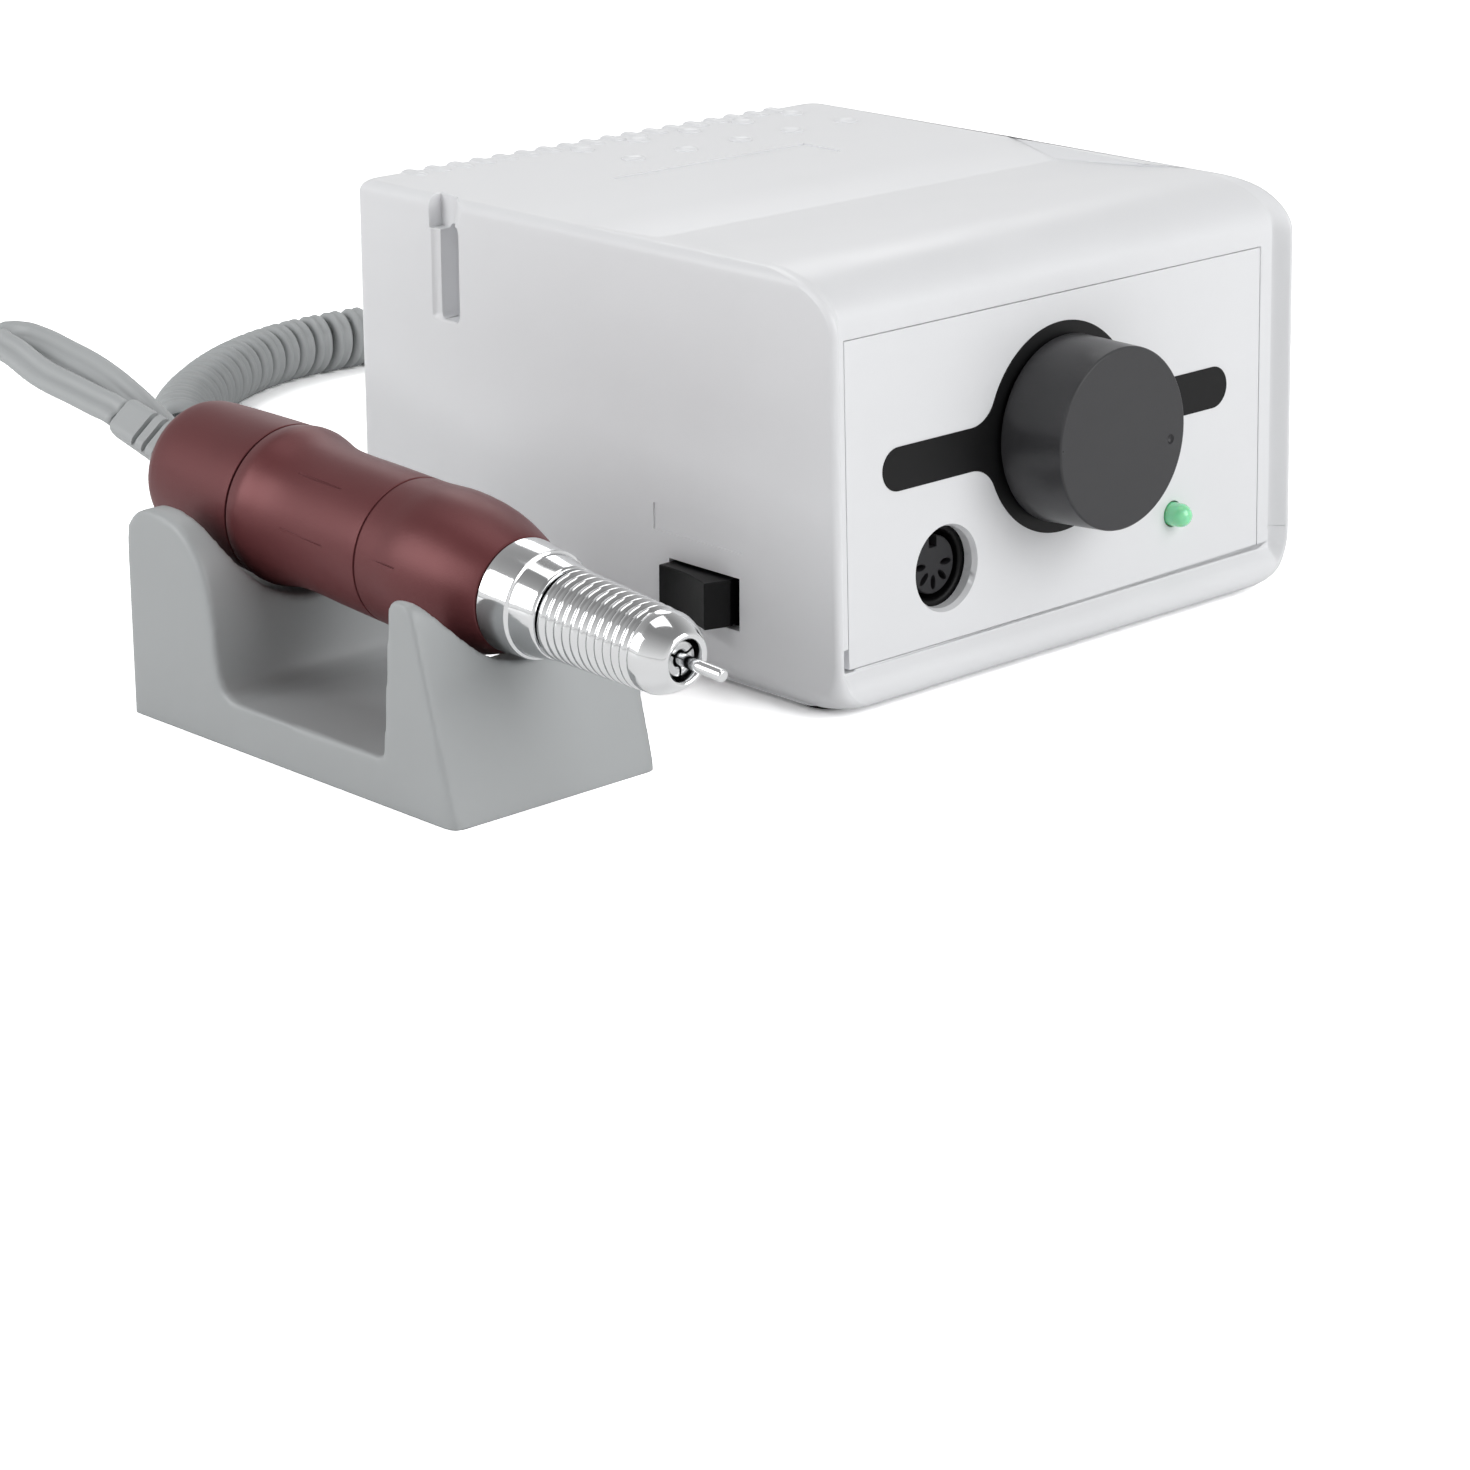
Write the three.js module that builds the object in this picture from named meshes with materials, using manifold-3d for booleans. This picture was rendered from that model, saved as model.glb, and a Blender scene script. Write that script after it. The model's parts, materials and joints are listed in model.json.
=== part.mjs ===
// Electric nail drill: a mains control box, a micro-motor handpiece with a twist chuck lying in
// its cradle, and the curly cord that joins handpiece and plug.
// Millimetres, +Z up. The control panel faces -Y and the cradle stands on the -X side of the box.
// The origin is on the table, in the middle of everything but the cord.

import * as THREE from 'three';
import { mergeVertices } from 'three/addons/utils/BufferGeometryUtils.js';
import Module from 'manifold-3d';

const wasm = await Module();
wasm.setup();

// Fits and facets shared by all pieces
const gap = 0.3;
const overrun = 1;
const wideSides = 30;
const roundSides = 20;
const smallSides = 10;
const cornerSteps = 4;
const curveSteps = 6;
const archSteps = 3;

// Driving sizes of the control box
const box = {
  width: 136.5, depth: 143.6, height: 87.2, wall: 2.5, frontWall: 6.5,
  frontLean: THREE.MathUtils.degToRad(1.9),
  topCurveDepth: 19.2, topCurveDrop: 9.4, chinReach: 2.2, chinTop: 9.2, bottomRadius: 3.2, rearRadius: 3,
  sideRadius: 2.5, lowerSideRadius: 4, chinSideRadius: 5, cheekReach: 3.1, cheekStart: 12, cheekRadius: 1.6,
  cheekFoot: 4.8, cheekCurveDepth: 21.5, cheekCurveDrop: 10.2,
};
const dish = { rear: 77.5, floor: 62.5, front: 27, drop: 1.6, rim: 2.5 };
const foot = { height: 1.4, radius: 6, inset: 11, pegRadius: 2, pegLength: 4 };
const base = { thickness: 2.5, postRadius: 3, postHeight: 9, pinRadius: 1.2, pinHeight: 2.5, lipRadius: 3 };
const boss = { radius: 4.2, insetX: 9, insetFront: 18, insetRear: 19.5, pilotDepth: 12 };
const screw = { headRadius: 3, headHeight: 1.3, radius: 1.5, length: 11 };
const hookSlot = { front: 109.7, width: 7.9, bottom: 62.5, depth: 6, wall: 2, throat: 80, throatFlare: 1.8 };

// Driving sizes of the control panel and what it carries, in the leaning plane of the front
const panel = {
  left: 6.3, bottom: 9.9, width: 122.3, height: 64.7, thickness: 2.5, setBack: 0.7, radius: 1.6, ledge: 3,
};
const legend = {
  thickness: 0.4, barLeft: 15.6, barRight: 118, barHeight: 8.8, discRadius: 21.6, centreX: 66.8, centreY: 47.3,
  filletRadius: 7,
};
const pot = {
  bodyRadius: 12, bodyDepth: 9, bushRadius: 3.5, bushReach: 4.5, shaftRadius: 3, shaftReach: 13.5, shaftTail: 6,
  nutRadius: 5.6, nutThickness: 2.2,
};
const knob = {
  radius: 19.1, faceRadius: 18.5, faceReach: 16.4, chamfer: 0.6, skirtLift: 0.9, recessRadius: 9, recessDepth: 6,
};
const din = {
  x: 33.4, y: 25.1, holeRadius: 8.3, flangeRadius: 10.5, flangeThickness: 1.5, bodyRadius: 8.6, boreRadius: 7,
  depth: 12, insertRadius: 5.97, insertRecess: 1.1, baseThickness: 3, slotCircle: 3.5, slotLength: 2.4,
  slotWidth: 0.9, slotDepth: 7, keyWidth: 1.7, keyDepth: 1.9,
};
const led = {
  x: 101.2, y: 22.6, radius: 2.5, flangeRadius: 2.95, flangeThickness: 1, reach: 5.2, holderWall: 1.1, holderDepth: 5,
};

// Driving sizes of the side switch, seen square on to the left wall
const powerSwitch = {
  y: 35.25, z: 18.8, windowLength: 20.3, windowHeight: 10.8, pivotDepth: 6, tilt: THREE.MathUtils.degToRad(9.5),
  rockerHeight: 9.6, ridgeHalf: 8.2, ridgeLevel: 10.7, valleyLevel: 9.7, hipHalf: 8.68, hipLevel: 7.54,
  skirtHalf: 9.09, skirtLevel: 5.07, tailHalf: 5, tailLevel: 3, trunnionRadius: 1.5, trunnionReach: 1.3,
  bodyLength: 24, bodyHeight: 14.6, bodyDepth: 14, floor: 2,
};

// Driving sizes of the rear fittings
const inlet = {
  x: 106, z: 26, width: 27, height: 19.8, flangeWidth: 31, flangeHeight: 24, flangeThickness: 2, depth: 16,
  cavityWidth: 22.4, cavityHeight: 15.2, cavityDepth: 13, cornerRadius: 3,
};
const pin = { width: 2, height: 4, length: 15, tail: 5, spread: 6.5, rise: 2.2 };
const fuse = {
  x: 50, z: 26, flangeRadius: 8, flangeThickness: 2, bodyRadius: 6.4, boreRadius: 4.6, depth: 34,
  capRadius: 6, capReach: 5.7, plugRadius: 4.2, plugLength: 7, slotWidth: 1.2, slotDepth: 1.5,
  fuseRadius: 2.6, fuseLength: 20,
};

// Driving sizes of the electrics inside the box
const core = { x: 88, y: 99, width: 57, height: 48, stack: 24, leg: 19, yoke: 9.5 };
const winding = { overhang: 8.5 };
const board = { left: 20, front: 30, width: 96, depth: 44, thickness: 1.6, postInset: 5 };
const heatSink = { x: 48, y: 62, width: 36, depth: 14, height: 26, wall: 2.5 };
const transistor = { width: 10, depth: 4.5, height: 15 };
const capacitor = { x: 96, y: 55, radius: 9, height: 32 };
const rectifier = { x: 77, y: 60, width: 15, depth: 6, height: 12 };

// Driving sizes of the cradle
const cradle = {
  width: 49.4, length: 97.2, standGap: 41, setBack: 4.2, wall: 2.6, floor: 9.1, rearFlare: 1.7,
  frontLean: THREE.MathUtils.degToRad(15.8), earHeight: 40.2, earDepth: 6.2, shoulderHeight: 33, lowFront: 19.9,
  archHeight: 42.4, crownFlat: 0.364, archRearDrop: 8.5,
  frontTroughRadius: 18.1, frontSeat: 25.7, frontSeatFall: 0.185, rearTroughRadius: 21, rearSeat: 24.5,
  troughSplit: 45, cornerRadius: 2,
  archShares: [
    [0.643, 0.003], [0.679, 0.027], [0.7, 0.087], [0.712, 0.237], [0.722, 0.492], [0.751, 0.748], [0.813, 0.94], [0.88, 1],
  ],
};

// Driving sizes of the handpiece: stations are measured along its axis from the rear end
const tool = {
  tilt: THREE.MathUtils.degToRad(3.1), restHeight: 37.3, restSetBack: 9.75,
  rearCapEnd: 29.6, motorSleeveEnd: 67.7, frontSleeveEnd: 98.5, neckEnd: 112, noseEnd: 143, shankEnd: 152.5,
  endRadius: 11.5, shoulderRadius: 14, shoulderStation: 2.6, rearRadius: 14.85, rearStation: 15, grooveRadius: 15.5,
  bulgeRadius: 15.9, bulgeStation: 32.5, waistStation: 40.5, waistRadius: 14.4, sleeveRadius: 14.3, swellRadius: 15,
  swellStation: 78.3, noseRadius: 10.95, ringRadius: 10.4, ringEnd: 106, neckStartRadius: 9.7, neckRadius: 8.8,
  jointGap: 0.5, wall: 1.9, rearWall: 2.5,
};
const chuck = {
  ribCount: 11, ribPitch: 2.09, ribDepth: 0.5, startRadius: 8.65, endRadius: 7.9, noseRadius: 7.7, coneStation: 137.8,
  boreRadius: 3.9, tipRadius: 4.9, spigotRadius: 5.9, spigotBore: 4.7, spigotEnd: 131,
};
const motor = {
  canStart: 7.5, canEnd: 66, canWall: 1.5, endPlate: 6.5, magnetStart: 26, magnetEnd: 54, magnetWall: 2,
  rotorStart: 28, rotorEnd: 52, rotorRadius: 7.9, commutatorStart: 17.5, commutatorEnd: 25, commutatorRadius: 4.5,
  brushWidth: 3.4, brushLength: 4.6, bearingRadius: 6.8, bearingStart: 9.5, bearingLength: 4,
  frontBearingRadius: 8, frontBearingStart: 86, frontBearingLength: 7,
};
const spindle = { start: 8.5, radius: 2.5, stepStation: 84, frontRadius: 4.2, end: 125, boreRadius: 2.6, boreStart: 110 };
const collet = { tailRadius: 2.3, headRadius: 3.4, headStart: 125.4, end: 141.5, boreRadius: 1.48, slit: 0.5, slitDepth: 12 };
const shank = { radius: 1.175, start: 116, chamfer: 0.4 };
const relief = {
  height: 9.4, width: 7.4, endHeight: 8.4, endWidth: 5.2, length: 26, slotCount: 4, slotPitch: 3.6, slotWidth: 1.3,
  slotDepth: 1.4, firstSlot: 4.6, flange: 2, flangeLip: 1.6, rise: THREE.MathUtils.degToRad(9),
  roll: THREE.MathUtils.degToRad(-45),
};

// Driving sizes of the cord
const lead = { diameter: 4.6, sides: 8 };
const curl = {
  turns: 36.25, stepsPerTurn: 8, startAngle: Math.PI / 4, outerRadius: 7.75, wireWidth: 5, wireThickness: 3.2,
  height: 7.9, stub: 5.2, sides: 5,
};
const plug = {
  gripRadius: 7.4, gripLength: 26, tailRadius: 4, tailLength: 9, shieldRadius: 6.65, shieldWall: 0.45,
  shieldReach: 9, shieldSeat: 4, insertThickness: 4, pinRadius: 0.72, pinReach: 7, pinCircle: 3.5, pinSweep: 180,
};

// Routes seen from the lower front left corner of the box. The lead's is hand-chosen: out, a tight
// hairpin, back past the handpiece, down behind it and over the table to the curls
const leadRoute = [
  [-65.7, 145, 49.3], [-65.7, 154, 50.4], [-65.7, 166.5, 52], [-65.2, 177, 54.6], [-64.4, 183.5, 55.3],
  [-61.5, 187.6, 55.6], [-58.6, 184.6, 55.8], [-57.9, 178.5, 55.6], [-57.8, 168.5, 54.4], [-57.6, 157, 52.4],
  [-57.2, 146.5, 48.8], [-56.4, 137.8, 44.4], [-54, 129.5, 38.5], [-48, 125, 31], [-39, 125.5, 23.5],
  [-29.5, 131.5, 17], [-18, 145, 10], [-5.5, 166, 5], [6, 189, 3.6], [20, 212, 4.2], [31, 226, 7],
];
const curlAxis = [
  [26.5, 247.4], [29.8, 252.3], [34.9, 258.6], [41.8, 265.5], [51.6, 273.7], [63.5, 282.2], [75.8, 289], [87.5, 293.4],
  [97.3, 295.4], [108.3, 295.7], [118.4, 295.2], [127, 293.4], [136.5, 289.4], [145.8, 282.6], [152.8, 273.6],
  [157.2, 262.8], [158.6, 251.4], [156.6, 240], [151.2, 229.8], [143.2, 221.6], [133.2, 216], [122.2, 213],
  [111.2, 212.1],
];
const plugRoute = [[107, 193, 5.5], [99, 183.5, 3.6], [86, 174, 4.4], [74, 169.3, 6.2]];
const plugPlace = { x: 60, y: 168.3, heading: THREE.MathUtils.degToRad(180) };

// Places that follow from the sizes
const totalWidth = cradle.rearFlare + cradle.width + cradle.standGap + box.width;
const boxLeft = totalWidth / 2 - box.width;
const cradleX = -totalWidth / 2 + cradle.rearFlare + cradle.width / 2;
const shankReach = tool.shankEnd - tool.frontSleeveEnd;
const frontReach = shankReach * Math.cos(tool.tilt) + shank.radius * Math.sin(tool.tilt)
  - cradle.setBack - tool.restSetBack;
const fuseReach = fuse.flangeThickness + gap + fuse.capReach;
const boxFront = (frontReach - box.depth - gap - fuseReach) / 2;
const cradleFront = boxFront + cradle.setBack;
const toolY = cradleFront + tool.restSetBack;
const plateTop = foot.height + base.thickness;
const fromBox = ([x, y, z]) => [x + boxLeft, y + boxFront, z];

// Materials
const finish = (color, roughness, metalness = 0) => () => new THREE.MeshStandardMaterial({ color, roughness, metalness });
const whitePlastic = finish('#e4e5e7', 0.35);
const blackPlastic = finish('#1b1b1c', 0.45);
const greyPlastic = finish('#a3a6a8', 0.5);
const darkPlastic = finish('#4a4a4b', 0.55);
const cordGrey = finish('#8f9394', 0.6);
const rubber = finish('#151515', 0.85);
const redEnamel = finish('#6e4244', 0.4, 0.25);
const polished = finish('#d9dadb', 0.12, 1);
const steel = finish('#b9bbbd', 0.3, 1);
const copper = finish('#b06a3a', 0.35, 0.9);
const brass = finish('#c9a75a', 0.35, 0.9);
const carbon = finish('#2c2c2e', 0.8);
const ironCore = finish('#5c5e61', 0.5, 0.8);
const boardGreen = finish('#2f6b45', 0.6);
const ledGreen = finish('#5fbf8a', 0.2);
const glass = finish('#cfd8d6', 0.1);

// Geometry and solids

function solid(geometry, placement) {
  const bare = geometry.clone();
  bare.deleteAttribute('normal');
  bare.deleteAttribute('uv');
  if (placement) bare.applyMatrix4(placement);
  const merged = mergeVertices(bare);
  return new wasm.Manifold(new wasm.Mesh({
    numProp: 3,
    vertProperties: new Float32Array(merged.attributes.position.array),
    triVerts: new Uint32Array(merged.index.array),
  }));
}

function geometryOf(body) {
  const mesh = body.getMesh();
  const geometry = new THREE.BufferGeometry();
  geometry.setAttribute('position', new THREE.BufferAttribute(new Float32Array(mesh.vertProperties), 3));
  geometry.setIndex(new THREE.BufferAttribute(new Uint32Array(mesh.triVerts), 1));
  geometry.computeVertexNormals();
  return geometry;
}

const at = (x, y, z) => new THREE.Matrix4().makeTranslation(x, y, z);

function basis(xAxis, yAxis, zAxis, origin = [0, 0, 0]) {
  const matrix = new THREE.Matrix4();
  matrix.makeBasis(new THREE.Vector3(...xAxis), new THREE.Vector3(...yAxis), new THREE.Vector3(...zAxis));
  return matrix.setPosition(...origin);
}

// A block between two corners
function block(x0, x1, y0, y1, z0, z1) {
  const geometry = new THREE.BoxGeometry(x1 - x0, y1 - y0, z1 - z0);
  return solid(geometry, at((x0 + x1) / 2, (y0 + y1) / 2, (z0 + z1) / 2));
}

// An outline drawn in X and Y, raised from z0 to z1
function raised(shape, z0, z1, steps = curveSteps) {
  const geometry = new THREE.ExtrudeGeometry(shape, { depth: z1 - z0, bevelEnabled: false, curveSegments: steps });
  return solid(geometry, at(0, 0, z0));
}

// An outline drawn in Y and Z, drawn out from x0 to x1
function alongX(shape, x0, x1, steps = curveSteps) {
  const geometry = new THREE.ExtrudeGeometry(shape, { depth: x1 - x0, bevelEnabled: false, curveSegments: steps });
  return solid(geometry, basis([0, 1, 0], [0, 0, 1], [1, 0, 0], [x0, 0, 0]));
}

// An outline drawn in X and Z, drawn out from y0 to y1
function alongY(shape, y0, y1, steps = curveSteps) {
  const geometry = new THREE.ExtrudeGeometry(shape, { depth: y1 - y0, bevelEnabled: false, curveSegments: steps });
  return solid(geometry, basis([1, 0, 0], [0, 0, 1], [0, -1, 0], [0, y1, 0]));
}

// A profile of radius and height turned round +Z; it runs from the foot up the outside
function turned(profile, sides = wideSides) {
  const points = profile.map(([radius, height]) => new THREE.Vector2(radius, height));
  const geometry = new THREE.LatheGeometry(points, sides);
  return solid(geometry, basis([1, 0, 0], [0, 0, 1], [0, -1, 0]));
}

function disc(radius, z0, z1, sides = roundSides) {
  return turned([[0, z0], [radius, z0], [radius, z1], [0, z1]], sides);
}

function ring(outer, inner, z0, z1, sides = roundSides) {
  return turned([[inner, z0], [outer, z0], [outer, z1], [inner, z1], [inner, z0]], sides);
}

function moved(body, x, y, z) {
  return solid(geometryOf(body), at(x, y, z));
}

function roundedRect(x0, y0, x1, y1, radius) {
  const shape = new THREE.Shape();
  const quarter = Math.PI / 2;
  shape.absarc(x1 - radius, y0 + radius, radius, -quarter, 0);
  shape.absarc(x1 - radius, y1 - radius, radius, 0, quarter);
  shape.absarc(x0 + radius, y1 - radius, radius, quarter, 2 * quarter);
  shape.absarc(x0 + radius, y0 + radius, radius, 2 * quarter, 3 * quarter);
  return shape;
}

function polygon(points) {
  return new THREE.Shape(points.map(([x, y]) => new THREE.Vector2(x, y)));
}

function mesh(name, body, material, parent) {
  const piece = new THREE.Mesh(body.isBufferGeometry ? body : geometryOf(body), material());
  piece.name = name;
  parent.add(piece);
  return piece;
}

// Groups: the object, the box with its leaning front and its left wall, the handpiece, the cradle

const object = new THREE.Group();

const controlBox = new THREE.Group();
controlBox.position.set(boxLeft, boxFront, 0);
object.add(controlBox);

const front = new THREE.Group();
front.rotation.x = Math.PI / 2 - box.frontLean;
controlBox.add(front);
front.updateMatrix();

const sideWall = new THREE.Group();
sideWall.applyMatrix4(basis([0, -1, 0], [0, 0, 1], [-1, 0, 0], [0, powerSwitch.y, powerSwitch.z]));
controlBox.add(sideWall);
sideWall.updateMatrix();

const rearWall = new THREE.Group();
rearWall.applyMatrix4(basis([-1, 0, 0], [0, 0, 1], [0, 1, 0], [0, box.depth, 0]));
controlBox.add(rearWall);
rearWall.updateMatrix();

const stand = new THREE.Group();
stand.position.set(cradleX, cradleFront, 0);
object.add(stand);

const handpiece = new THREE.Group();
handpiece.rotation.x = Math.PI / 2 + tool.tilt;
handpiece.position.set(
  cradleX,
  toolY + tool.frontSleeveEnd * Math.cos(tool.tilt),
  tool.restHeight + tool.frontSleeveEnd * Math.sin(tool.tilt),
);
object.add(handpiece);

const cord = new THREE.Group();
object.add(cord);

// Control box: the cover

// The side view, inset on every side; the front is inset by its own wall
function coverSide(inset, frontInset) {
  const lean = Math.tan(box.frontLean);
  const bottom = foot.height;
  const top = box.height - inset;
  const rear = box.depth - inset;
  const radius = Math.max(box.rearRadius - inset, gap);
  const curveTop = box.height - box.topCurveDrop;
  const faceTop = curveTop * lean + frontInset;
  const faceBottom = bottom * lean + frontInset;
  const dropRadius = box.topCurveDrop - inset;
  const shape = new THREE.Shape();
  shape.moveTo(rear, bottom);
  shape.lineTo(rear, top - radius);
  shape.absarc(rear - radius, top - radius, radius, 0, Math.PI / 2);
  const curveDepth = box.topCurveDepth + inset - frontInset;
  shape.absellipse(faceTop + curveDepth, curveTop, curveDepth, dropRadius, Math.PI / 2, Math.PI);
  if (frontInset === 0) {
    const chin = -box.chinReach;
    const chinBottom = bottom + box.bottomRadius;
    shape.lineTo(box.chinTop * lean, box.chinTop);
    shape.quadraticCurveTo(chin, (box.chinTop + chinBottom) / 2, chin, chinBottom);
    shape.absarc(chin + box.bottomRadius, chinBottom, box.bottomRadius, Math.PI, Math.PI * 1.5);
  } else {
    shape.lineTo(faceBottom, bottom);
  }
  return shape;
}

// The two cheeks, which stand proud of the face on both sides of the panel: a small outer round,
// a crest that leans with the face and rolls over into the top, and a slope down to the face
function cheeks() {
  const lean = Math.tan(box.frontLean);
  const { cheekReach: reach, cheekRadius: r, cheekFoot: slopeFoot, width } = box;
  const chinBottom = foot.height + box.bottomRadius;
  const curveStart = box.height - box.cheekCurveDrop;
  const crestTop = curveStart * lean - reach;
  const rear = crestTop + box.cheekCurveDepth;
  const side = new THREE.Shape();
  side.moveTo(rear, chinBottom);
  side.lineTo(rear, box.height);
  side.absellipse(rear, curveStart, box.cheekCurveDepth, box.cheekCurveDrop, Math.PI / 2, Math.PI);
  side.lineTo(box.cheekStart * lean - reach, box.cheekStart);
  side.lineTo(-box.chinReach, chinBottom);
  const round = Array.from({ length: archSteps + 1 }, (_, i) => {
    const angle = Math.PI + i * Math.PI / 2 / archSteps;
    return [r + r * Math.cos(angle), r - reach + r * Math.sin(angle)];
  });
  const left = [[slopeFoot, rear], [0, rear], ...round, [slopeFoot, 0]];
  const right = left.map(([x, y]) => [width - x, y]).reverse();
  const leaning = new THREE.Matrix4().makeShear(0, 0, 0, 0, 0, lean);
  const [one, other] = [left, right].map((outline) => solid(geometryOf(raised(polygon(outline), 0, box.height)), leaning));
  return one.add(other).intersect(alongX(side, 0, width));
}

function coverShell() {
  const side = alongX(coverSide(0, 0), 0, box.width);
  const quarter = Math.PI / 2;
  const [low, high] = [box.lowerSideRadius, box.sideRadius];
  const frontView = new THREE.Shape();
  frontView.absarc(box.width - low, foot.height + low, low, -quarter, 0);
  frontView.absarc(box.width - high, box.height - high, high, 0, quarter);
  frontView.absarc(high, box.height - high, high, quarter, 2 * quarter);
  frontView.absarc(low, foot.height + low, low, 2 * quarter, 3 * quarter);
  const across = alongY(frontView, -box.frontWall, box.depth + overrun, cornerSteps);
  const plan = new THREE.Shape();
  const [r, f] = [box.rearRadius, box.chinSideRadius];
  const inward = f - box.chinReach;
  plan.absarc(box.width - f, inward, f, -quarter, 0);
  plan.absarc(box.width - r, box.depth - r, r, 0, quarter);
  plan.absarc(r, box.depth - r, r, quarter, 2 * quarter);
  plan.absarc(f, inward, f, 2 * quarter, 3 * quarter);
  const chinAndFace = side.intersect(raised(plan, 0, box.height + overrun, cornerSteps));
  const outer = chinAndFace.add(cheeks()).intersect(across);
  const hollowSide = alongX(coverSide(box.wall, box.frontWall), box.wall, box.width - box.wall);
  const below = block(box.wall, box.width - box.wall, box.frontWall, box.depth - box.wall, 0, foot.height + overrun);
  return outer.subtract(hollowSide).subtract(below);
}

// The shallow dish across the top: a sloping step at its rear and a slow rise towards the front
function topDish() {
  const top = box.height;
  const outline = polygon([
    [dish.front, top], [dish.front, top + overrun], [dish.rear + overrun, top + overrun], [dish.rear, top],
    [dish.floor, top - dish.drop],
  ].reverse());
  return alongX(outline, dish.rim, box.width - dish.rim);
}

function hookPocket() {
  const { front: y0, width, bottom, depth, wall } = hookSlot;
  const y1 = y0 + width;
  return block(overrun, depth + wall, y0 - wall, y1 + wall + hookSlot.throatFlare, bottom - wall, box.height - box.wall / 2);
}

function hookCut() {
  const { front: y0, width, bottom, depth } = hookSlot;
  const slot = block(-overrun, depth, y0, y0 + width, bottom, box.height + overrun);
  const throat = block(-overrun, depth, y0, y0 + width + hookSlot.throatFlare, hookSlot.throat, box.height + overrun);
  return slot.add(throat);
}

const bossPlaces = [
  [boss.insetX, boss.insetFront], [box.width - boss.insetX, boss.insetFront],
  [boss.insetX, box.depth - boss.insetRear], [box.width - boss.insetX, box.depth - boss.insetRear],
];

const cutPanel = (inset, w0, w1) => {
  const { left, bottom, width, height, radius } = panel;
  const outline = roundedRect(left + inset, bottom + inset, left + width - inset, bottom + height - inset, radius);
  return solid(geometryOf(raised(outline, w0, w1, cornerSteps)), front.matrix);
};

function topCover() {
  let body = coverShell().subtract(topDish()).add(hookPocket()).subtract(hookCut());
  for (const [x, y] of bossPlaces) {
    const tower = moved(disc(boss.radius, plateTop + gap, box.height - box.wall / 2, smallSides), x, y, 0);
    const pilot = moved(disc(screw.radius + gap, 0, plateTop + boss.pilotDepth, smallSides), x, y, 0);
    body = body.add(tower).subtract(pilot);
  }
  const seat = panel.setBack + panel.thickness + gap;
  body = body.subtract(cutPanel(-gap, -seat, box.frontWall));
  body = body.subtract(cutPanel(panel.ledge, -box.frontWall - overrun, overrun));
  const { windowLength: l, windowHeight: h } = powerSwitch;
  const window = block(-l / 2, l / 2, -h / 2, h / 2, -box.wall - overrun, overrun);
  body = body.subtract(solid(geometryOf(window), sideWall.matrix));
  const [ix, iw, ih] = [inlet.x, inlet.width / 2 + gap, inlet.height / 2 + gap];
  const through = block(-ix - iw, -ix + iw, inlet.z - ih, inlet.z + ih, -box.wall - overrun, overrun);
  const fuseHole = moved(disc(fuse.bodyRadius + gap, -box.wall - overrun, overrun), -fuse.x, fuse.z, 0);
  return body.subtract(solid(geometryOf(through.add(fuseHole)), rearWall.matrix));
}

mesh('top_cover', topCover(), whitePlastic, controlBox);

// Control box: the base plate with its board posts, the feet and the screws

const footPlaces = [
  [foot.inset, foot.inset], [box.width - foot.inset, foot.inset],
  [foot.inset, box.depth - foot.inset], [box.width - foot.inset, box.depth - foot.inset],
];
const postPlaces = [0, 1].flatMap((i) => [0, 1].map((j) => [
  board.left + board.postInset + i * (board.width - 2 * board.postInset),
  board.front + board.postInset + j * (board.depth - 2 * board.postInset),
]));

function basePlate() {
  const [x0, x1] = [box.wall + gap, box.width - box.wall - gap];
  const [y0, y1] = [box.frontWall + gap, box.depth - box.wall - gap];
  let body = raised(roundedRect(x0, y0, x1, y1, base.lipRadius), foot.height, plateTop, cornerSteps);
  for (const [x, y] of postPlaces) {
    const post = disc(base.postRadius, foot.height, plateTop + base.postHeight, smallSides);
    const peg = disc(base.pinRadius, plateTop, plateTop + base.postHeight + base.pinHeight, smallSides);
    body = body.add(moved(post.add(peg), x, y, 0));
  }
  for (const [x, y] of bossPlaces) {
    const shaft = disc(screw.radius + gap, 0, plateTop + overrun, smallSides);
    const sink = disc(screw.headRadius + gap, 0, foot.height + screw.headHeight + gap, smallSides);
    body = body.subtract(moved(shaft.add(sink), x, y, 0));
  }
  for (const [x, y] of footPlaces) {
    body = body.subtract(moved(disc(foot.pegRadius + gap, 0, plateTop + overrun, smallSides), x, y, 0));
  }
  return body;
}

mesh('base_plate', basePlate(), whitePlastic, controlBox);

footPlaces.forEach(([x, y], i) => {
  const pad = turned([
    [0, 0], [foot.radius, 0], [foot.radius, foot.height - gap], [foot.pegRadius, foot.height - gap],
    [foot.pegRadius, foot.height + foot.pegLength], [0, foot.height + foot.pegLength],
  ], roundSides);
  mesh(`foot_${i + 1}`, pad, rubber, controlBox).position.set(x, y, 0);
});

bossPlaces.forEach(([x, y], i) => {
  const headTop = foot.height + screw.headHeight;
  const body = turned([
    [0, headTop - screw.headHeight], [screw.headRadius, headTop - screw.headHeight], [screw.headRadius, headTop],
    [screw.radius, headTop], [screw.radius, headTop + screw.length], [0, headTop + screw.length],
  ], smallSides);
  mesh(`base_screw_${i + 1}`, body, steel, controlBox).position.set(x, y, 0);
});

// Front: the panel, its legend plate, the speed control and knob, the socket and the lamp

const panelFace = -panel.setBack;
const panelBack = panelFace - panel.thickness;
const behindPanel = panelBack - gap;

function frontPanel() {
  const { left, bottom, width, height, radius } = panel;
  const outline = roundedRect(left, bottom, left + width, bottom + height, radius);
  let body = raised(outline, panelBack, panelFace, cornerSteps);
  const hole = (x, y, radius1) => moved(disc(radius1 + gap, panelBack - overrun, panelFace + overrun), x, y, 0);
  body = body.subtract(hole(legend.centreX, legend.centreY, pot.bushRadius));
  body = body.subtract(hole(din.x, din.y, din.holeRadius - gap));
  return body.subtract(hole(led.x, led.y, led.radius));
}

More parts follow.
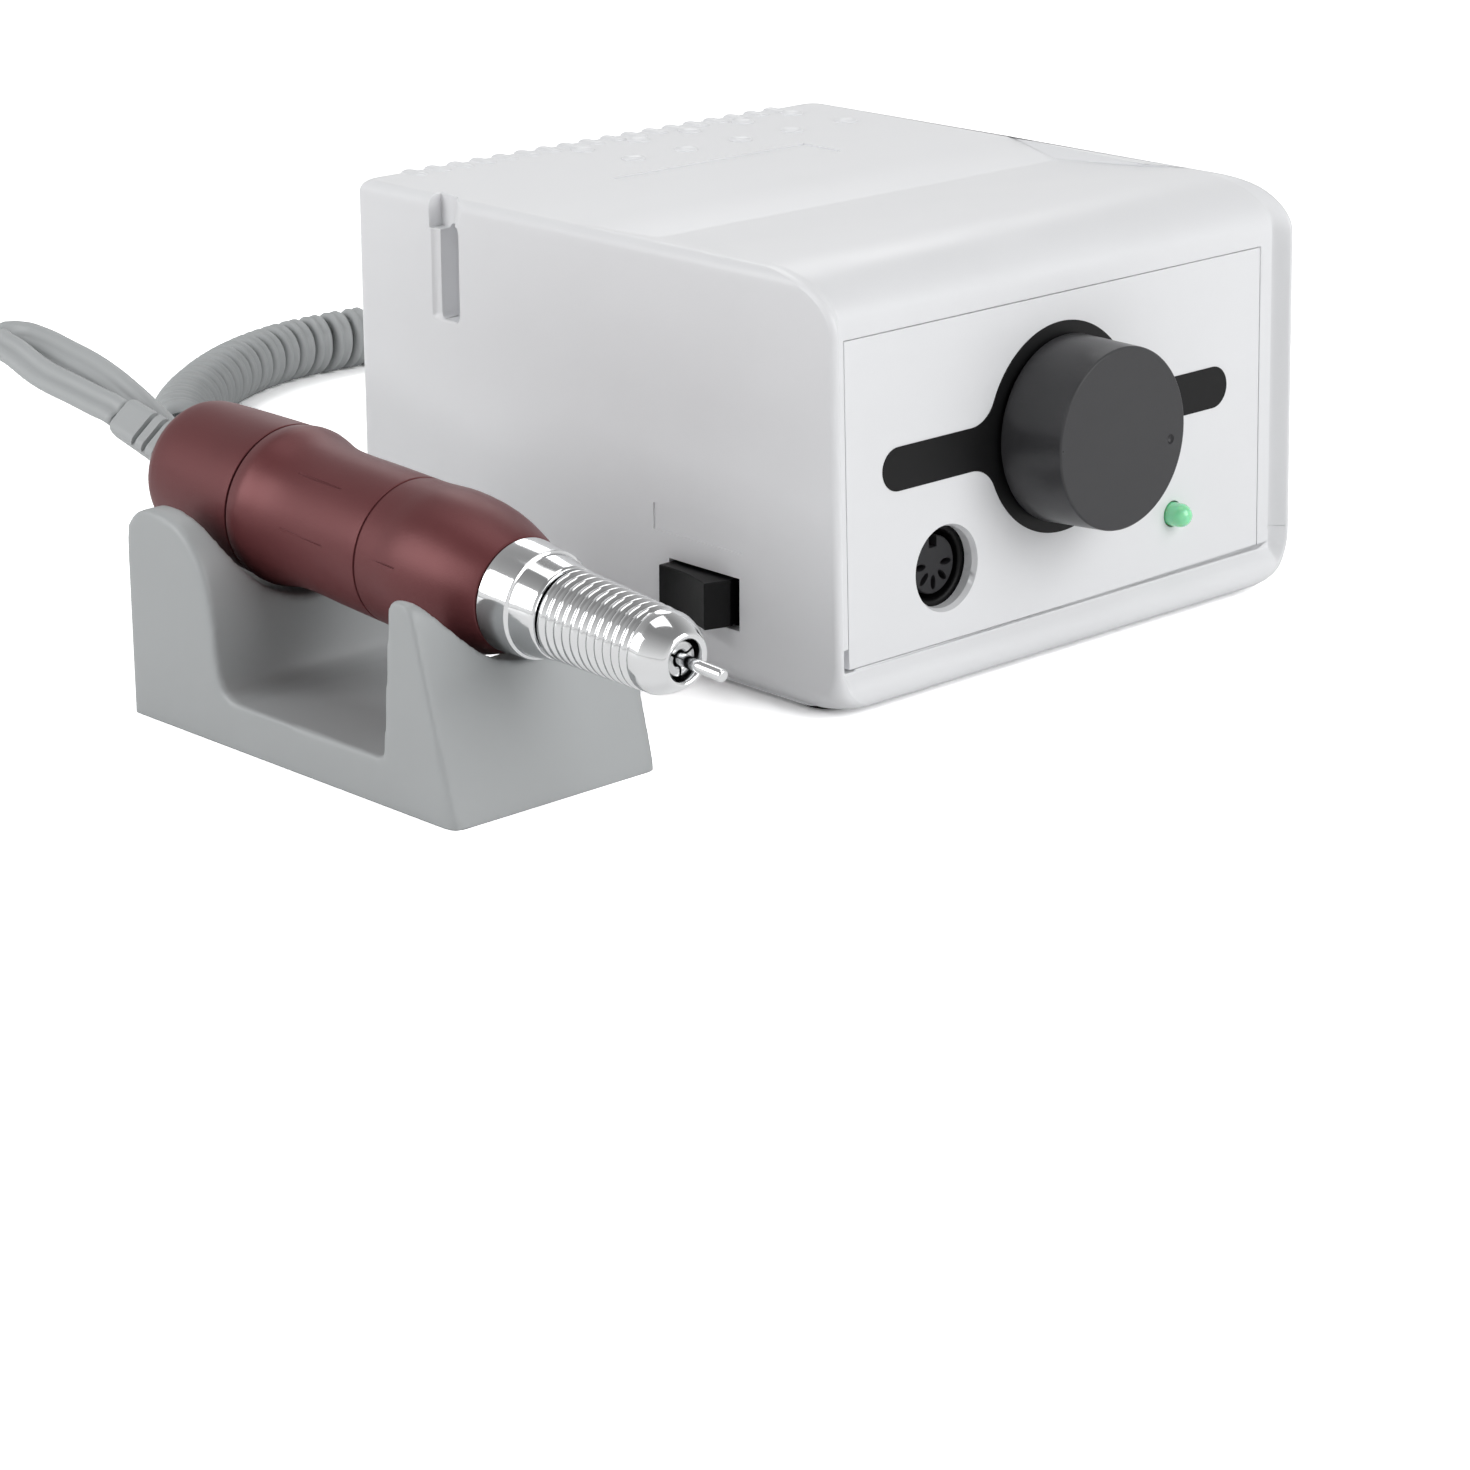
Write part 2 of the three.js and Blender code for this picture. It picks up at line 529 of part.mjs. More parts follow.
mesh('front_panel', frontPanel(), whitePlastic, front);

// A round disc on a bar with round ends; hollow fillets where they meet
function legendPlate() {
  const { barLeft, barRight, barHeight, discRadius, centreX: cx, centreY: cy, filletRadius } = legend;
  const half = barHeight / 2;
  const bar = raised(roundedRect(barLeft, cy - half, barRight, cy + half, half), 0, legend.thickness);
  let body = bar.add(moved(disc(discRadius, 0, legend.thickness, wideSides), cx, cy, 0));
  const filletY = half + filletRadius;
  const filletX = Math.sqrt((discRadius + filletRadius) ** 2 - filletY ** 2);
  const touchX = filletX * discRadius / (discRadius + filletRadius);
  const touchY = filletY * discRadius / (discRadius + filletRadius);
  for (const sx of [-1, 1]) {
    for (const sy of [-1, 1]) {
      const corner = [[0, 0], [filletX, 0], [filletX, half], [touchX, touchY]].map(([x, y]) => [cx + sx * x, cy + sy * y]);
      const web = raised(polygon(sx * sy > 0 ? corner : corner.reverse()), 0, legend.thickness);
      const bite = disc(filletRadius, -overrun, legend.thickness + overrun, wideSides);
      body = body.add(web.subtract(moved(bite, cx + sx * filletX, cy + sy * filletY, 0)));
    }
  }
  return body.subtract(moved(disc(pot.bushRadius + gap, -overrun, legend.thickness + overrun), cx, cy, 0));
}

const legendBack = panelFace + gap;
mesh('legend_plate', legendPlate(), blackPlastic, front).position.set(0, 0, legendBack);

const control = new THREE.Group();
control.position.set(legend.centreX, legend.centreY, 0);
front.add(control);

const bushEnd = panelFace + pot.bushReach;
const potBack = behindPanel - pot.bodyDepth;
const bore = pot.shaftRadius + gap;
mesh('speed_pot', turned([
  [0, potBack], [pot.bodyRadius, potBack], [pot.bodyRadius, behindPanel], [pot.bushRadius, behindPanel],
  [pot.bushRadius, bushEnd], [bore, bushEnd], [bore, behindPanel - pot.shaftTail - gap],
  [0, behindPanel - pot.shaftTail - gap],
], roundSides), steel, control);

const nutBack = legendBack + legend.thickness + gap;
const nutFront = nutBack + pot.nutThickness;
const nutHole = disc(pot.bushRadius + gap, nutBack - overrun, nutFront + overrun);
mesh('pot_nut', disc(pot.nutRadius, nutBack, nutFront, 6).subtract(nutHole), brass, control);

const shaftEnd = bushEnd + pot.shaftReach - pot.bushReach;
mesh('pot_shaft', disc(pot.shaftRadius, behindPanel - pot.shaftTail, shaftEnd, roundSides), steel, control);

// The knob is hollow below, so that its skirt hides the nut
const knobFoot = legendBack + legend.thickness + knob.skirtLift;
const knobBoreEnd = shaftEnd + gap;
mesh('speed_knob', turned([
  [bore, knobFoot + knob.recessDepth], [knob.recessRadius, knobFoot + knob.recessDepth], [knob.recessRadius, knobFoot],
  [knob.radius, knobFoot], [knob.faceRadius, knob.faceReach - knob.chamfer],
  [knob.faceRadius - knob.chamfer, knob.faceReach], [0, knob.faceReach], [0, knobBoreEnd],
  [bore, knobBoreEnd], [bore, knobFoot + knob.recessDepth],
], wideSides), darkPlastic, control);

const socket = new THREE.Group();
socket.position.set(din.x, din.y, 0);
front.add(socket);

const dinBack = behindPanel - din.depth;
mesh('din_socket_shell', turned([
  [din.boreRadius, dinBack], [din.bodyRadius, dinBack], [din.bodyRadius, behindPanel - din.flangeThickness],
  [din.flangeRadius, behindPanel - din.flangeThickness], [din.flangeRadius, behindPanel],
  [din.boreRadius, behindPanel], [din.boreRadius, dinBack],
], roundSides), blackPlastic, socket);

// Five contact slots at 45 degrees round the lower half circle, and the key notch at the top
function dinInsert() {
  const face = behindPanel - din.insertRecess;
  const insertBase = din.boreRadius - gap;
  let body = turned([
    [0, dinBack], [insertBase, dinBack], [insertBase, dinBack + din.baseThickness],
    [din.insertRadius, dinBack + din.baseThickness], [din.insertRadius, face], [0, face],
  ], roundSides);
  for (let i = 0; i < 5; i++) {
    const turn = new THREE.Matrix4().makeRotationZ(-i * Math.PI / 4);
    const half = din.slotLength / 2;
    const cut = block(din.slotCircle - half, din.slotCircle + half, -din.slotWidth / 2, din.slotWidth / 2,
      face - din.slotDepth, face + overrun);
    body = body.subtract(solid(geometryOf(cut), turn));
  }
  const notch = block(-din.keyWidth / 2, din.keyWidth / 2, din.insertRadius - din.keyDepth,
    din.insertRadius + overrun, dinBack + din.baseThickness, face + overrun);
  return body.subtract(notch);
}
mesh('din_socket_insert', dinInsert(), darkPlastic, socket);

const lamp = new THREE.Group();
lamp.position.set(led.x, led.y, 0);
front.add(lamp);

function ledLens() {
  const flangeBack = behindPanel - led.flangeThickness;
  const domeStart = panelFace + led.reach - led.radius;
  const dome = [0, 1, 2, 3, 4].map((i) => {
    const angle = i * Math.PI / 8;
    return [led.radius * Math.cos(angle), domeStart + led.radius * Math.sin(angle)];
  });
  dome[4][0] = 0;
  return turned([
    [0, flangeBack], [led.flangeRadius, flangeBack], [led.flangeRadius, behindPanel], [led.radius, behindPanel], ...dome,
  ], roundSides);
}
mesh('led_lens', ledLens(), ledGreen, lamp);
mesh('led_holder', ring(led.flangeRadius + gap + led.holderWall, led.flangeRadius + gap,
  behindPanel - led.holderDepth, behindPanel, roundSides), blackPlastic, lamp);

// Left wall: the rocker of the power switch and its body; +X here points to the front of the box

function rocker() {
  const s = powerSwitch;
  const outline = new THREE.Shape();
  outline.moveTo(-s.tailHalf, -s.tailLevel);
  outline.lineTo(s.tailHalf, -s.tailLevel);
  outline.lineTo(s.skirtHalf, s.skirtLevel);
  outline.lineTo(s.hipHalf, s.hipLevel);
  outline.lineTo(s.ridgeHalf, s.ridgeLevel);
  outline.quadraticCurveTo(0, 2 * s.valleyLevel - s.ridgeLevel, -s.ridgeHalf, s.ridgeLevel);
  outline.lineTo(-s.hipHalf, s.hipLevel);
  outline.lineTo(-s.skirtHalf, s.skirtLevel);
  const half = s.rockerHeight / 2;
  const reach = half + s.trunnionReach;
  const trunnion = solid(geometryOf(disc(s.trunnionRadius, -reach, reach, smallSides)), basis([1, 0, 0], [0, 0, 1], [0, -1, 0]));
  return alongY(outline, -half, half).add(trunnion);
}

const rockerMesh = mesh('power_rocker', rocker(), blackPlastic, sideWall);
rockerMesh.position.set(0, 0, -powerSwitch.pivotDepth);
rockerMesh.rotation.y = -powerSwitch.tilt;

function switchBody() {
  const s = powerSwitch;
  const face = -box.wall - gap;
  const [l, h] = [s.bodyLength / 2, s.bodyHeight / 2];
  const [cl, ch] = [s.windowLength / 2, s.rockerHeight / 2 + gap];
  const shell = block(-l, l, -h, h, face - s.bodyDepth, face);
  const cavity = block(-cl, cl, -ch, ch, face - s.bodyDepth + s.floor, face + overrun);
  const reach = s.rockerHeight / 2 + s.trunnionReach + gap;
  const hole = disc(s.trunnionRadius + gap, -reach, reach, smallSides);
  const across = basis([1, 0, 0], [0, 0, 1], [0, -1, 0], [0, 0, -s.pivotDepth]);
  return shell.subtract(cavity).subtract(solid(geometryOf(hole), across));
}
mesh('switch_body', switchBody(), blackPlastic, sideWall);

// Rear wall: the mains inlet with its three pins, the fuse holder, its cap and the fuse.
// Here +Z points out of the wall and +X to the left-hand side seen from the front

const inletGroup = new THREE.Group();
inletGroup.position.set(-inlet.x, inlet.z, 0);
rearWall.add(inletGroup);

const pinPlaces = { line: [-pin.spread, -pin.rise], earth: [0, pin.rise], neutral: [pin.spread, -pin.rise] };

function mainsInlet() {
  const rect = (w, h, radius) => roundedRect(-w / 2, -h / 2, w / 2, h / 2, radius);
  const face = gap + inlet.flangeThickness;
  const flange = raised(rect(inlet.flangeWidth, inlet.flangeHeight, inlet.cornerRadius), gap, face, cornerSteps);
  const shell = block(-inlet.width / 2, inlet.width / 2, -inlet.height / 2, inlet.height / 2, face - inlet.depth, face);
  const cavity = raised(rect(inlet.cavityWidth, inlet.cavityHeight, inlet.cornerRadius),
    face - inlet.cavityDepth, face + overrun, cornerSteps);
  let body = flange.add(shell).subtract(cavity);
  const [w, h] = [pin.width / 2 + gap, pin.height / 2 + gap];
  for (const [x, y] of Object.values(pinPlaces)) {
    body = body.subtract(block(x - w, x + w, y - h, y + h, face - inlet.depth - overrun, face));
  }
  return body;
}
mesh('mains_inlet', mainsInlet(), blackPlastic, inletGroup);

for (const [name, [x, y]] of Object.entries(pinPlaces)) {
  const back = gap + inlet.flangeThickness - inlet.depth - pin.tail;
  const blade = block(-pin.width / 2, pin.width / 2, -pin.height / 2, pin.height / 2, back, back + pin.length);
  mesh(`inlet_pin_${name}`, blade, brass, inletGroup).position.set(x, y, 0);
}

const fuseGroup = new THREE.Group();
fuseGroup.position.set(-fuse.x, fuse.z, 0);
rearWall.add(fuseGroup);

const fuseFace = gap + fuse.flangeThickness;
mesh('fuse_holder', turned([
  [0, fuseFace - fuse.depth], [fuse.bodyRadius, fuseFace - fuse.depth], [fuse.bodyRadius, gap],
  [fuse.flangeRadius, gap], [fuse.flangeRadius, fuseFace], [fuse.boreRadius, fuseFace],
  [fuse.boreRadius, fuseFace - fuse.depth + fuse.flangeThickness], [0, fuseFace - fuse.depth + fuse.flangeThickness],
], roundSides), blackPlastic, fuseGroup);

function fuseCap() {
  const seat = fuseFace + gap;
  const body = turned([
    [0, seat - fuse.plugLength], [fuse.plugRadius, seat - fuse.plugLength], [fuse.plugRadius, seat],
    [fuse.capRadius, seat], [fuse.capRadius, seat + fuse.capReach], [0, seat + fuse.capReach],
  ], roundSides);
  const slot = block(-fuse.capRadius, fuse.capRadius, -fuse.slotWidth / 2, fuse.slotWidth / 2,
    seat + fuse.capReach - fuse.slotDepth, seat + fuse.capReach + overrun);
  return body.subtract(slot);
}
mesh('fuse_cap', fuseCap(), blackPlastic, fuseGroup);
const fuseTop = fuseFace - fuse.plugLength;
mesh('fuse', disc(fuse.fuseRadius, fuseTop - fuse.fuseLength, fuseTop, smallSides), glass, fuseGroup);

// Inside: the transformer, the circuit board and what it carries

const transformer = new THREE.Group();
transformer.position.set(core.x, core.y, plateTop + gap);
controlBox.add(transformer);

function transformerCore() {
  const [w, s] = [core.width / 2, core.stack / 2];
  let body = block(-w, w, -s, s, 0, core.height);
  const limb = core.leg / 2;
  for (const side of [-1, 1]) {
    const [a, b] = [side * limb, side * (w - core.yoke)].sort((p, q) => p - q);
    body = body.subtract(block(a, b, -s - overrun, s + overrun, core.yoke, core.height - core.yoke));
  }
  return body;
}
mesh('transformer_core', transformerCore(), ironCore, transformer);

function transformerWinding() {
  const [hole, stack] = [core.leg / 2 + gap, core.stack / 2 + gap];
  const reach = core.width / 2 - core.yoke - gap;
  const deep = stack + winding.overhang;
  const [z0, z1] = [core.yoke + gap, core.height - core.yoke - gap];
  return block(-reach, reach, -deep, deep, z0, z1).subtract(block(-hole, hole, -stack, stack, z0 - overrun, z1 + overrun));
}
mesh('transformer_winding', transformerWinding(), copper, transformer);

const boardBottom = plateTop + base.postHeight + gap;
const boardTop = boardBottom + board.thickness;

function circuitBoard() {
  let body = block(board.left, board.left + board.width, board.front, board.front + board.depth, boardBottom, boardTop);
  for (const [x, y] of postPlaces) {
    body = body.subtract(moved(disc(base.pinRadius + gap, boardBottom - overrun, boardTop + overrun, smallSides), x, y, 0));
  }
  return body;
}
mesh('circuit_board', circuitBoard(), boardGreen, controlBox);

const onBoard = boardTop + gap;
function heatSinkBody() {
  const [w, d] = [heatSink.width / 2, heatSink.depth / 2];
  const trough = block(-w + heatSink.wall, w - heatSink.wall, -d - overrun, d - heatSink.wall, -overrun, heatSink.height + overrun);
  return block(-w, w, -d, d, 0, heatSink.height).subtract(trough);
}
mesh('heat_sink', heatSinkBody(), steel, controlBox).position.set(heatSink.x, heatSink.y, onBoard);
const transistorY = heatSink.y + heatSink.depth / 2 - heatSink.wall - gap - transistor.depth / 2;
const blockOf = (size) => block(-size.width / 2, size.width / 2, -size.depth / 2, size.depth / 2, 0, size.height);
mesh('power_transistor', blockOf(transistor), blackPlastic, controlBox).position.set(heatSink.x, transistorY, onBoard);
mesh('bridge_rectifier', blockOf(rectifier), blackPlastic, controlBox).position.set(rectifier.x, rectifier.y, onBoard);
mesh('filter_capacitor', disc(capacitor.radius, 0, capacitor.height), darkPlastic, controlBox)
  .position.set(capacitor.x, capacitor.y, onBoard);

// Cradle: a moulded shell with a tall rear saddle, a low middle and a leaning front with one ear

function cradleSide(inset) {
  const c = cradle;
  const lean = Math.tan(c.frontLean);
  const shape = new THREE.Shape();
  const earTop = c.earHeight - inset;
  const frontFoot = inset / Math.cos(c.frontLean);
  const rear = c.length - inset;
  const shoulder = c.archHeight - c.archRearDrop;
  shape.moveTo(frontFoot, 0);
  shape.lineTo(rear, 0);
  shape.lineTo(rear, shoulder);
  const crown = c.length * c.archShares.at(-1)[0] + c.wall + c.crownFlat;
  shape.quadraticCurveTo(rear, c.archHeight - inset, crown, c.archHeight - inset);
  const rise = c.archHeight - c.floor;
  const arch = c.archShares.map(([y, z]) => new THREE.Vector2(c.length * y + inset, c.floor + rise * z - inset));
  shape.splineThru(arch.reverse());
  shape.lineTo(c.lowFront + inset, c.floor - inset);
  const earFront = earTop * lean + frontFoot;
  const earRear = Math.max(earFront + c.earDepth - 2 * inset, earFront + gap);
  shape.lineTo(earRear, earTop - c.cornerRadius);
  shape.quadraticCurveTo(earRear, earTop, (earRear + earFront) / 2, earTop);
  shape.lineTo(earFront, earTop - c.cornerRadius);
  return shape;
}

// The two troughs that the handpiece lies in: the front one has flanks at 45 degrees and falls
// away to the rear under the swelling of the front sleeve, the rear one is a plain round
function trough(inset) {
  const r = cradle.frontTroughRadius + inset;
  const flank = r * Math.SQRT1_2;
  const reach = cradle.width;
  const shape = new THREE.Shape();
  shape.moveTo(flank, r - flank);
  shape.lineTo(flank + reach, r - flank + reach);
  shape.lineTo(-flank - reach, r - flank + reach);
  shape.lineTo(-flank, r - flank);
  shape.absarc(0, r, r, Math.PI * 1.25, Math.PI * 1.75);
  const mouth = cradle.frontSeat * Math.tan(cradle.frontLean);
  const fall = new THREE.Matrix4().makeRotationX(-Math.atan(cradle.frontSeatFall));
  fall.setPosition(0, mouth, cradle.frontSeat - inset);
  const front = solid(geometryOf(alongY(shape, -mouth - overrun, cradle.troughSplit - mouth, roundSides / 2)), fall);
  const rearShape = new THREE.Shape();
  const rearRadius = cradle.rearTroughRadius + inset;
  rearShape.absarc(0, cradle.rearSeat + cradle.rearTroughRadius, rearRadius, 0, Math.PI * 2);
  const rear = alongY(rearShape, cradle.troughSplit, cradle.length + overrun, roundSides);
  return front.add(rear);
}

// Its plan is a little wider at the rear
function cradlePlan(inset, z0, z1) {
  const half = cradle.width / 2 - inset;
  const rearHalf = half + cradle.rearFlare;
  const [y0, y1] = [inset, cradle.length - inset];
  const r = Math.max(cradle.cornerRadius - inset, gap);
  const outline = polygon([
    [-half + r, y0], [half - r, y0], [half, y0 + r], [rearHalf, y1 - r], [rearHalf - r, y1], [r - rearHalf, y1],
    [-rearHalf, y1 - r], [-half, y0 + r],
  ]);
  return raised(outline, z0, z1);
}

function cradleBody() {
  const reach = cradle.width;
  const top = cradle.width;
  const outer = alongX(cradleSide(0), -reach, reach, archSteps);
  const shoulderRear = cradle.lowFront + cradle.earDepth;
  const shoulder = block(0, reach, -overrun, shoulderRear, cradle.shoulderHeight, top);
  const inner = alongX(cradleSide(cradle.wall), -reach, reach, archSteps);
  const innerShoulder = block(0, reach, 0, shoulderRear, cradle.shoulderHeight - cradle.wall, top);
  const hollow = inner.intersect(cradlePlan(cradle.wall, -overrun, top));
  const cavity = hollow.subtract(trough(cradle.wall)).subtract(innerShoulder);
  const mouth = cradle.wall / Math.cos(cradle.frontLean);
  const below = cradlePlan(cradle.wall, -overrun, overrun).intersect(block(-reach, reach, mouth, reach * 2, -overrun, overrun));
  return outer.intersect(cradlePlan(0, -overrun, top)).subtract(trough(0)).subtract(shoulder).subtract(cavity).subtract(below);
}
mesh('cradle', cradleBody(), greyPlastic, stand);

// Handpiece: the three red sleeves. Here +Z runs along the axis towards the nose

const shellBore = tool.waistRadius - tool.wall;
const reliefRoll = new THREE.Matrix4().makeRotationZ(relief.roll);
const canRadius = shellBore - gap;

function rearCap() {
  const t = tool;
  const end = t.rearCapEnd - t.jointGap / 2;
  const body = turned([
    [0, 0], [t.endRadius, 0], [(t.endRadius + t.shoulderRadius) / 2 + gap, t.shoulderStation / 4],
    [t.shoulderRadius, t.shoulderStation], [t.rearRadius, t.rearStation], [t.grooveRadius, end],
    [shellBore, end], [shellBore, t.rearWall], [0, t.rearWall],
  ]);
  const [h, w] = [relief.height / 2 + gap, relief.width / 2 + gap];
  const opening = block(-w, w, -h, h, -overrun, t.rearWall + overrun);
  return body.subtract(solid(geometryOf(opening), reliefRoll));
}
mesh('rear_cap', rearCap(), redEnamel, handpiece);

function motorSleeve() {
  const t = tool;
  const [start, end] = [t.rearCapEnd + t.jointGap / 2, t.motorSleeveEnd - t.jointGap / 2];
  const bulgeEnd = t.bulgeStation + (t.waistStation - t.bulgeStation) / 3;
  return turned([
    [shellBore, start], [t.grooveRadius, start], [t.bulgeRadius, t.bulgeStation],
    [(t.bulgeRadius * 2 + t.waistRadius) / 3, bulgeEnd], [t.waistRadius, t.waistStation],
    [t.sleeveRadius, end], [shellBore, end], [shellBore, start],
  ]);
}
mesh('motor_sleeve', motorSleeve(), redEnamel, handpiece);

function frontSleeve() {
  const t = tool;
  const [start, end] = [t.motorSleeveEnd + t.jointGap / 2, t.frontSleeveEnd];
  const curve = [];
  const steps = 6;
  for (let i = 1; i <= steps; i++) {
    const share = i / steps;
    const radius = t.swellRadius - (t.swellRadius - t.noseRadius) * share ** 2.2;
    curve.push([radius, t.swellStation + (end - t.swellStation) * share]);
  }
  const seat = motor.frontBearingRadius + gap;
  const seatStart = motor.frontBearingStart - gap;
  const seatEnd = motor.frontBearingStart + motor.frontBearingLength + gap;
  const throat = spindle.frontRadius + gap;
  return turned([
    [shellBore, start], [t.sleeveRadius, start], [t.swellRadius, t.swellStation], ...curve,
    [throat, end], [throat, seatEnd], [seat, seatEnd], [seat, seatStart - t.rearWall],
    [shellBore, seatStart - t.rearWall * 2], [shellBore, start],
  ]);
}
mesh('front_sleeve', frontSleeve(), redEnamel, handpiece);

// The fixed silver ring with its neck, and the spigot that the chuck sleeve turns on
const neckStart = tool.frontSleeveEnd + gap;
mesh('nose_ring', turned([
  [chuck.spigotBore, neckStart], [tool.noseRadius, neckStart], [tool.ringRadius, tool.ringEnd],
  [tool.neckStartRadius, tool.ringEnd + tool.jointGap], [tool.neckRadius, tool.neckEnd],
  [chuck.spigotRadius, tool.neckEnd], [chuck.spigotRadius, chuck.spigotEnd], [chuck.spigotBore, chuck.spigotEnd],
  [chuck.spigotBore, neckStart],
]), polished, handpiece);

function chuckSleeve() {
  const c = chuck;
  const start = tool.neckEnd + gap;
  const profile = [];
  for (let i = 0; i < c.ribCount; i++) {
    const radius = c.startRadius + (c.endRadius - c.startRadius) * i / (c.ribCount - 1);
    const z = start + i * c.ribPitch;
    profile.push([radius - c.ribDepth, z], [radius, z + c.ribPitch / 2]);
  }
  const noseStart = start + c.ribCount * c.ribPitch;
  profile.push([c.endRadius - c.ribDepth, noseStart], [c.noseRadius, noseStart + gap], [c.noseRadius, c.coneStation]);
  const noseSteps = 4;
  for (let i = 1; i <= noseSteps; i++) {
    const share = i / noseSteps;
    const radius = c.noseRadius - (c.noseRadius - c.tipRadius) * share ** 1.5;
    profile.push([radius, c.coneStation + (tool.noseEnd - c.coneStation) * share]);
  }
  const bore = c.spigotRadius + gap;
  const boreEnd = c.spigotEnd + gap;
  return turned([
    ...profile, [c.boreRadius, tool.noseEnd], [c.boreRadius, boreEnd], [bore, boreEnd], [bore, start],
    profile[0],
  ]);
}
mesh('chuck_sleeve', chuckSleeve(), polished, handpiece);

// Handpiece: the motor

mesh('motor_can', turned([
  [motor.bearingRadius + gap, motor.canStart], [canRadius, motor.canStart], [canRadius, motor.canEnd],
  [canRadius - motor.canWall, motor.canEnd], [canRadius - motor.canWall, motor.canStart + motor.endPlate],
  [motor.bearingRadius + gap, motor.canStart + motor.endPlate], [motor.bearingRadius + gap, motor.canStart],
], roundSides), steel, handpiece);

const magnetRadius = canRadius - motor.canWall - gap;
mesh('magnet_ring', ring(magnetRadius, magnetRadius - motor.magnetWall, motor.magnetStart, motor.magnetEnd), carbon, handpiece);

const shaftBore = spindle.radius + gap;
mesh('rear_bearing', ring(motor.bearingRadius, shaftBore, motor.bearingStart,
  motor.bearingStart + motor.bearingLength), steel, handpiece);
mesh('front_bearing', ring(motor.frontBearingRadius, spindle.frontRadius + gap, motor.frontBearingStart,
  motor.frontBearingStart + motor.frontBearingLength), steel, handpiece);
mesh('rotor', ring(motor.rotorRadius, shaftBore, motor.rotorStart, motor.rotorEnd), ironCore, handpiece);
mesh('commutator', ring(motor.commutatorRadius, shaftBore, motor.commutatorStart, motor.commutatorEnd), copper, handpiece);

[1, -1].forEach((side, i) => {
  const inner = motor.commutatorRadius + gap;
  const outer = canRadius - motor.canWall - gap * 2;
  const [w, z] = [motor.brushWidth / 2, (motor.commutatorStart + motor.commutatorEnd - motor.brushLength) / 2];
  const [a, b] = side > 0 ? [inner, outer] : [-outer, -inner];
  mesh(`brush_${i + 1}`, block(a, b, -w, w, z, z + motor.brushLength), carbon, handpiece);
});

mesh('spindle', turned([
  [0, spindle.start], [spindle.radius, spindle.start], [spindle.radius, spindle.stepStation],
  [spindle.frontRadius, spindle.stepStation], [spindle.frontRadius, spindle.end], [spindle.boreRadius, spindle.end],
  [spindle.boreRadius, spindle.boreStart], [0, spindle.boreStart],
], roundSides), steel, handpiece);

function colletBody() {
  const c = collet;
  let body = turned([
    [c.boreRadius, spindle.boreStart + gap], [c.tailRadius, spindle.boreStart + gap], [c.tailRadius, c.headStart],
    [c.headRadius, c.headStart], [c.headRadius, c.end - gap], [c.headRadius - gap, c.end],
    [c.boreRadius, c.end], [c.boreRadius, spindle.boreStart + gap],
  ], roundSides);
  for (let i = 0; i < 3; i++) {
    const turn = new THREE.Matrix4().makeRotationZ(i * Math.PI * 2 / 3 + Math.PI / 2);
    const cut = block(0, c.headRadius + overrun, -c.slit / 2, c.slit / 2, c.end - c.slitDepth, c.end + overrun);
    body = body.subtract(solid(geometryOf(cut), turn));
  }
  return body;
}
mesh('collet', colletBody(), steel, handpiece);
mesh('test_shank', turned([
  [0, shank.start], [shank.radius, shank.start], [shank.radius, tool.shankEnd - shank.chamfer],
  [shank.radius - shank.chamfer, tool.shankEnd], [0, tool.shankEnd],
], smallSides), polished, handpiece);

// Handpiece: the strain relief, a flat taper with slots, held by a flange inside the rear cap
function strainRelief() {
  const r = relief;
  const taper = (z) => {
    const share = -z / r.length;
    return [(r.width + (r.endWidth - r.width) * share) / 2, (r.height + (r.endHeight - r.height) * share) / 2];
  };
  const [w0, h0] = taper(0);
  const [w1, h1] = taper(-r.length);
  const trapezium = (near, far) => polygon([[-far, -r.length], [far, -r.length], [near, 0], [-near, 0]]);
  let tail = alongY(trapezium(w0, w1), -r.height, r.height).intersect(alongX(trapezium(h0, h1), -r.width, r.width));
  for (let i = 0; i < r.slotCount; i++) {
    const z = -r.firstSlot - i * r.slotPitch;
    const [w, h] = taper(z);
    for (const side of [-1, 1]) {
      const [a, b] = [side * (w - r.slotDepth), side * (w + overrun)].sort((p, q) => p - q);
      tail = tail.subtract(block(a, b, -h - overrun, h + overrun, z - r.slotWidth, z));
    }
  }
  const lip = r.flangeLip;
  const seat = tool.rearWall + gap;
  const neck = block(-w0, w0, -h0, h0, -overrun, seat);
  const flange = block(-w0 - lip, w0 + lip, -h0 - lip, h0 + lip, seat, seat + r.flange);
  const rise = new THREE.Matrix4().makeRotationX(r.rise).multiply(reliefRoll);
  return solid(geometryOf(tail), rise).add(solid(geometryOf(neck.add(flange)), reliefRoll));
}
mesh('strain_relief', strainRelief(), cordGrey, handpiece);

// Cord: a plain lead, the curls, and the lead to the plug

function routeCurve(points) {
  return new THREE.CatmullRomCurve3(points.map((p) => new THREE.Vector3(...p)), false, 'centripetal');
}

function plainTube(points, steps) {
  const section = new THREE.Shape();
  for (let i = 0; i < lead.sides; i++) {
    const angle = i * 2 * Math.PI / lead.sides;
    const [x, y] = [lead.diameter / 2 * Math.cos(angle), lead.diameter / 2 * Math.sin(angle)];
    if (i === 0) section.moveTo(x, y);
    else section.lineTo(x, y);
  }
  section.closePath();
  const geometry = new THREE.ExtrudeGeometry(section, { steps, bevelEnabled: false, extrudePath: routeCurve(points) });
  return solid(geometry);
}

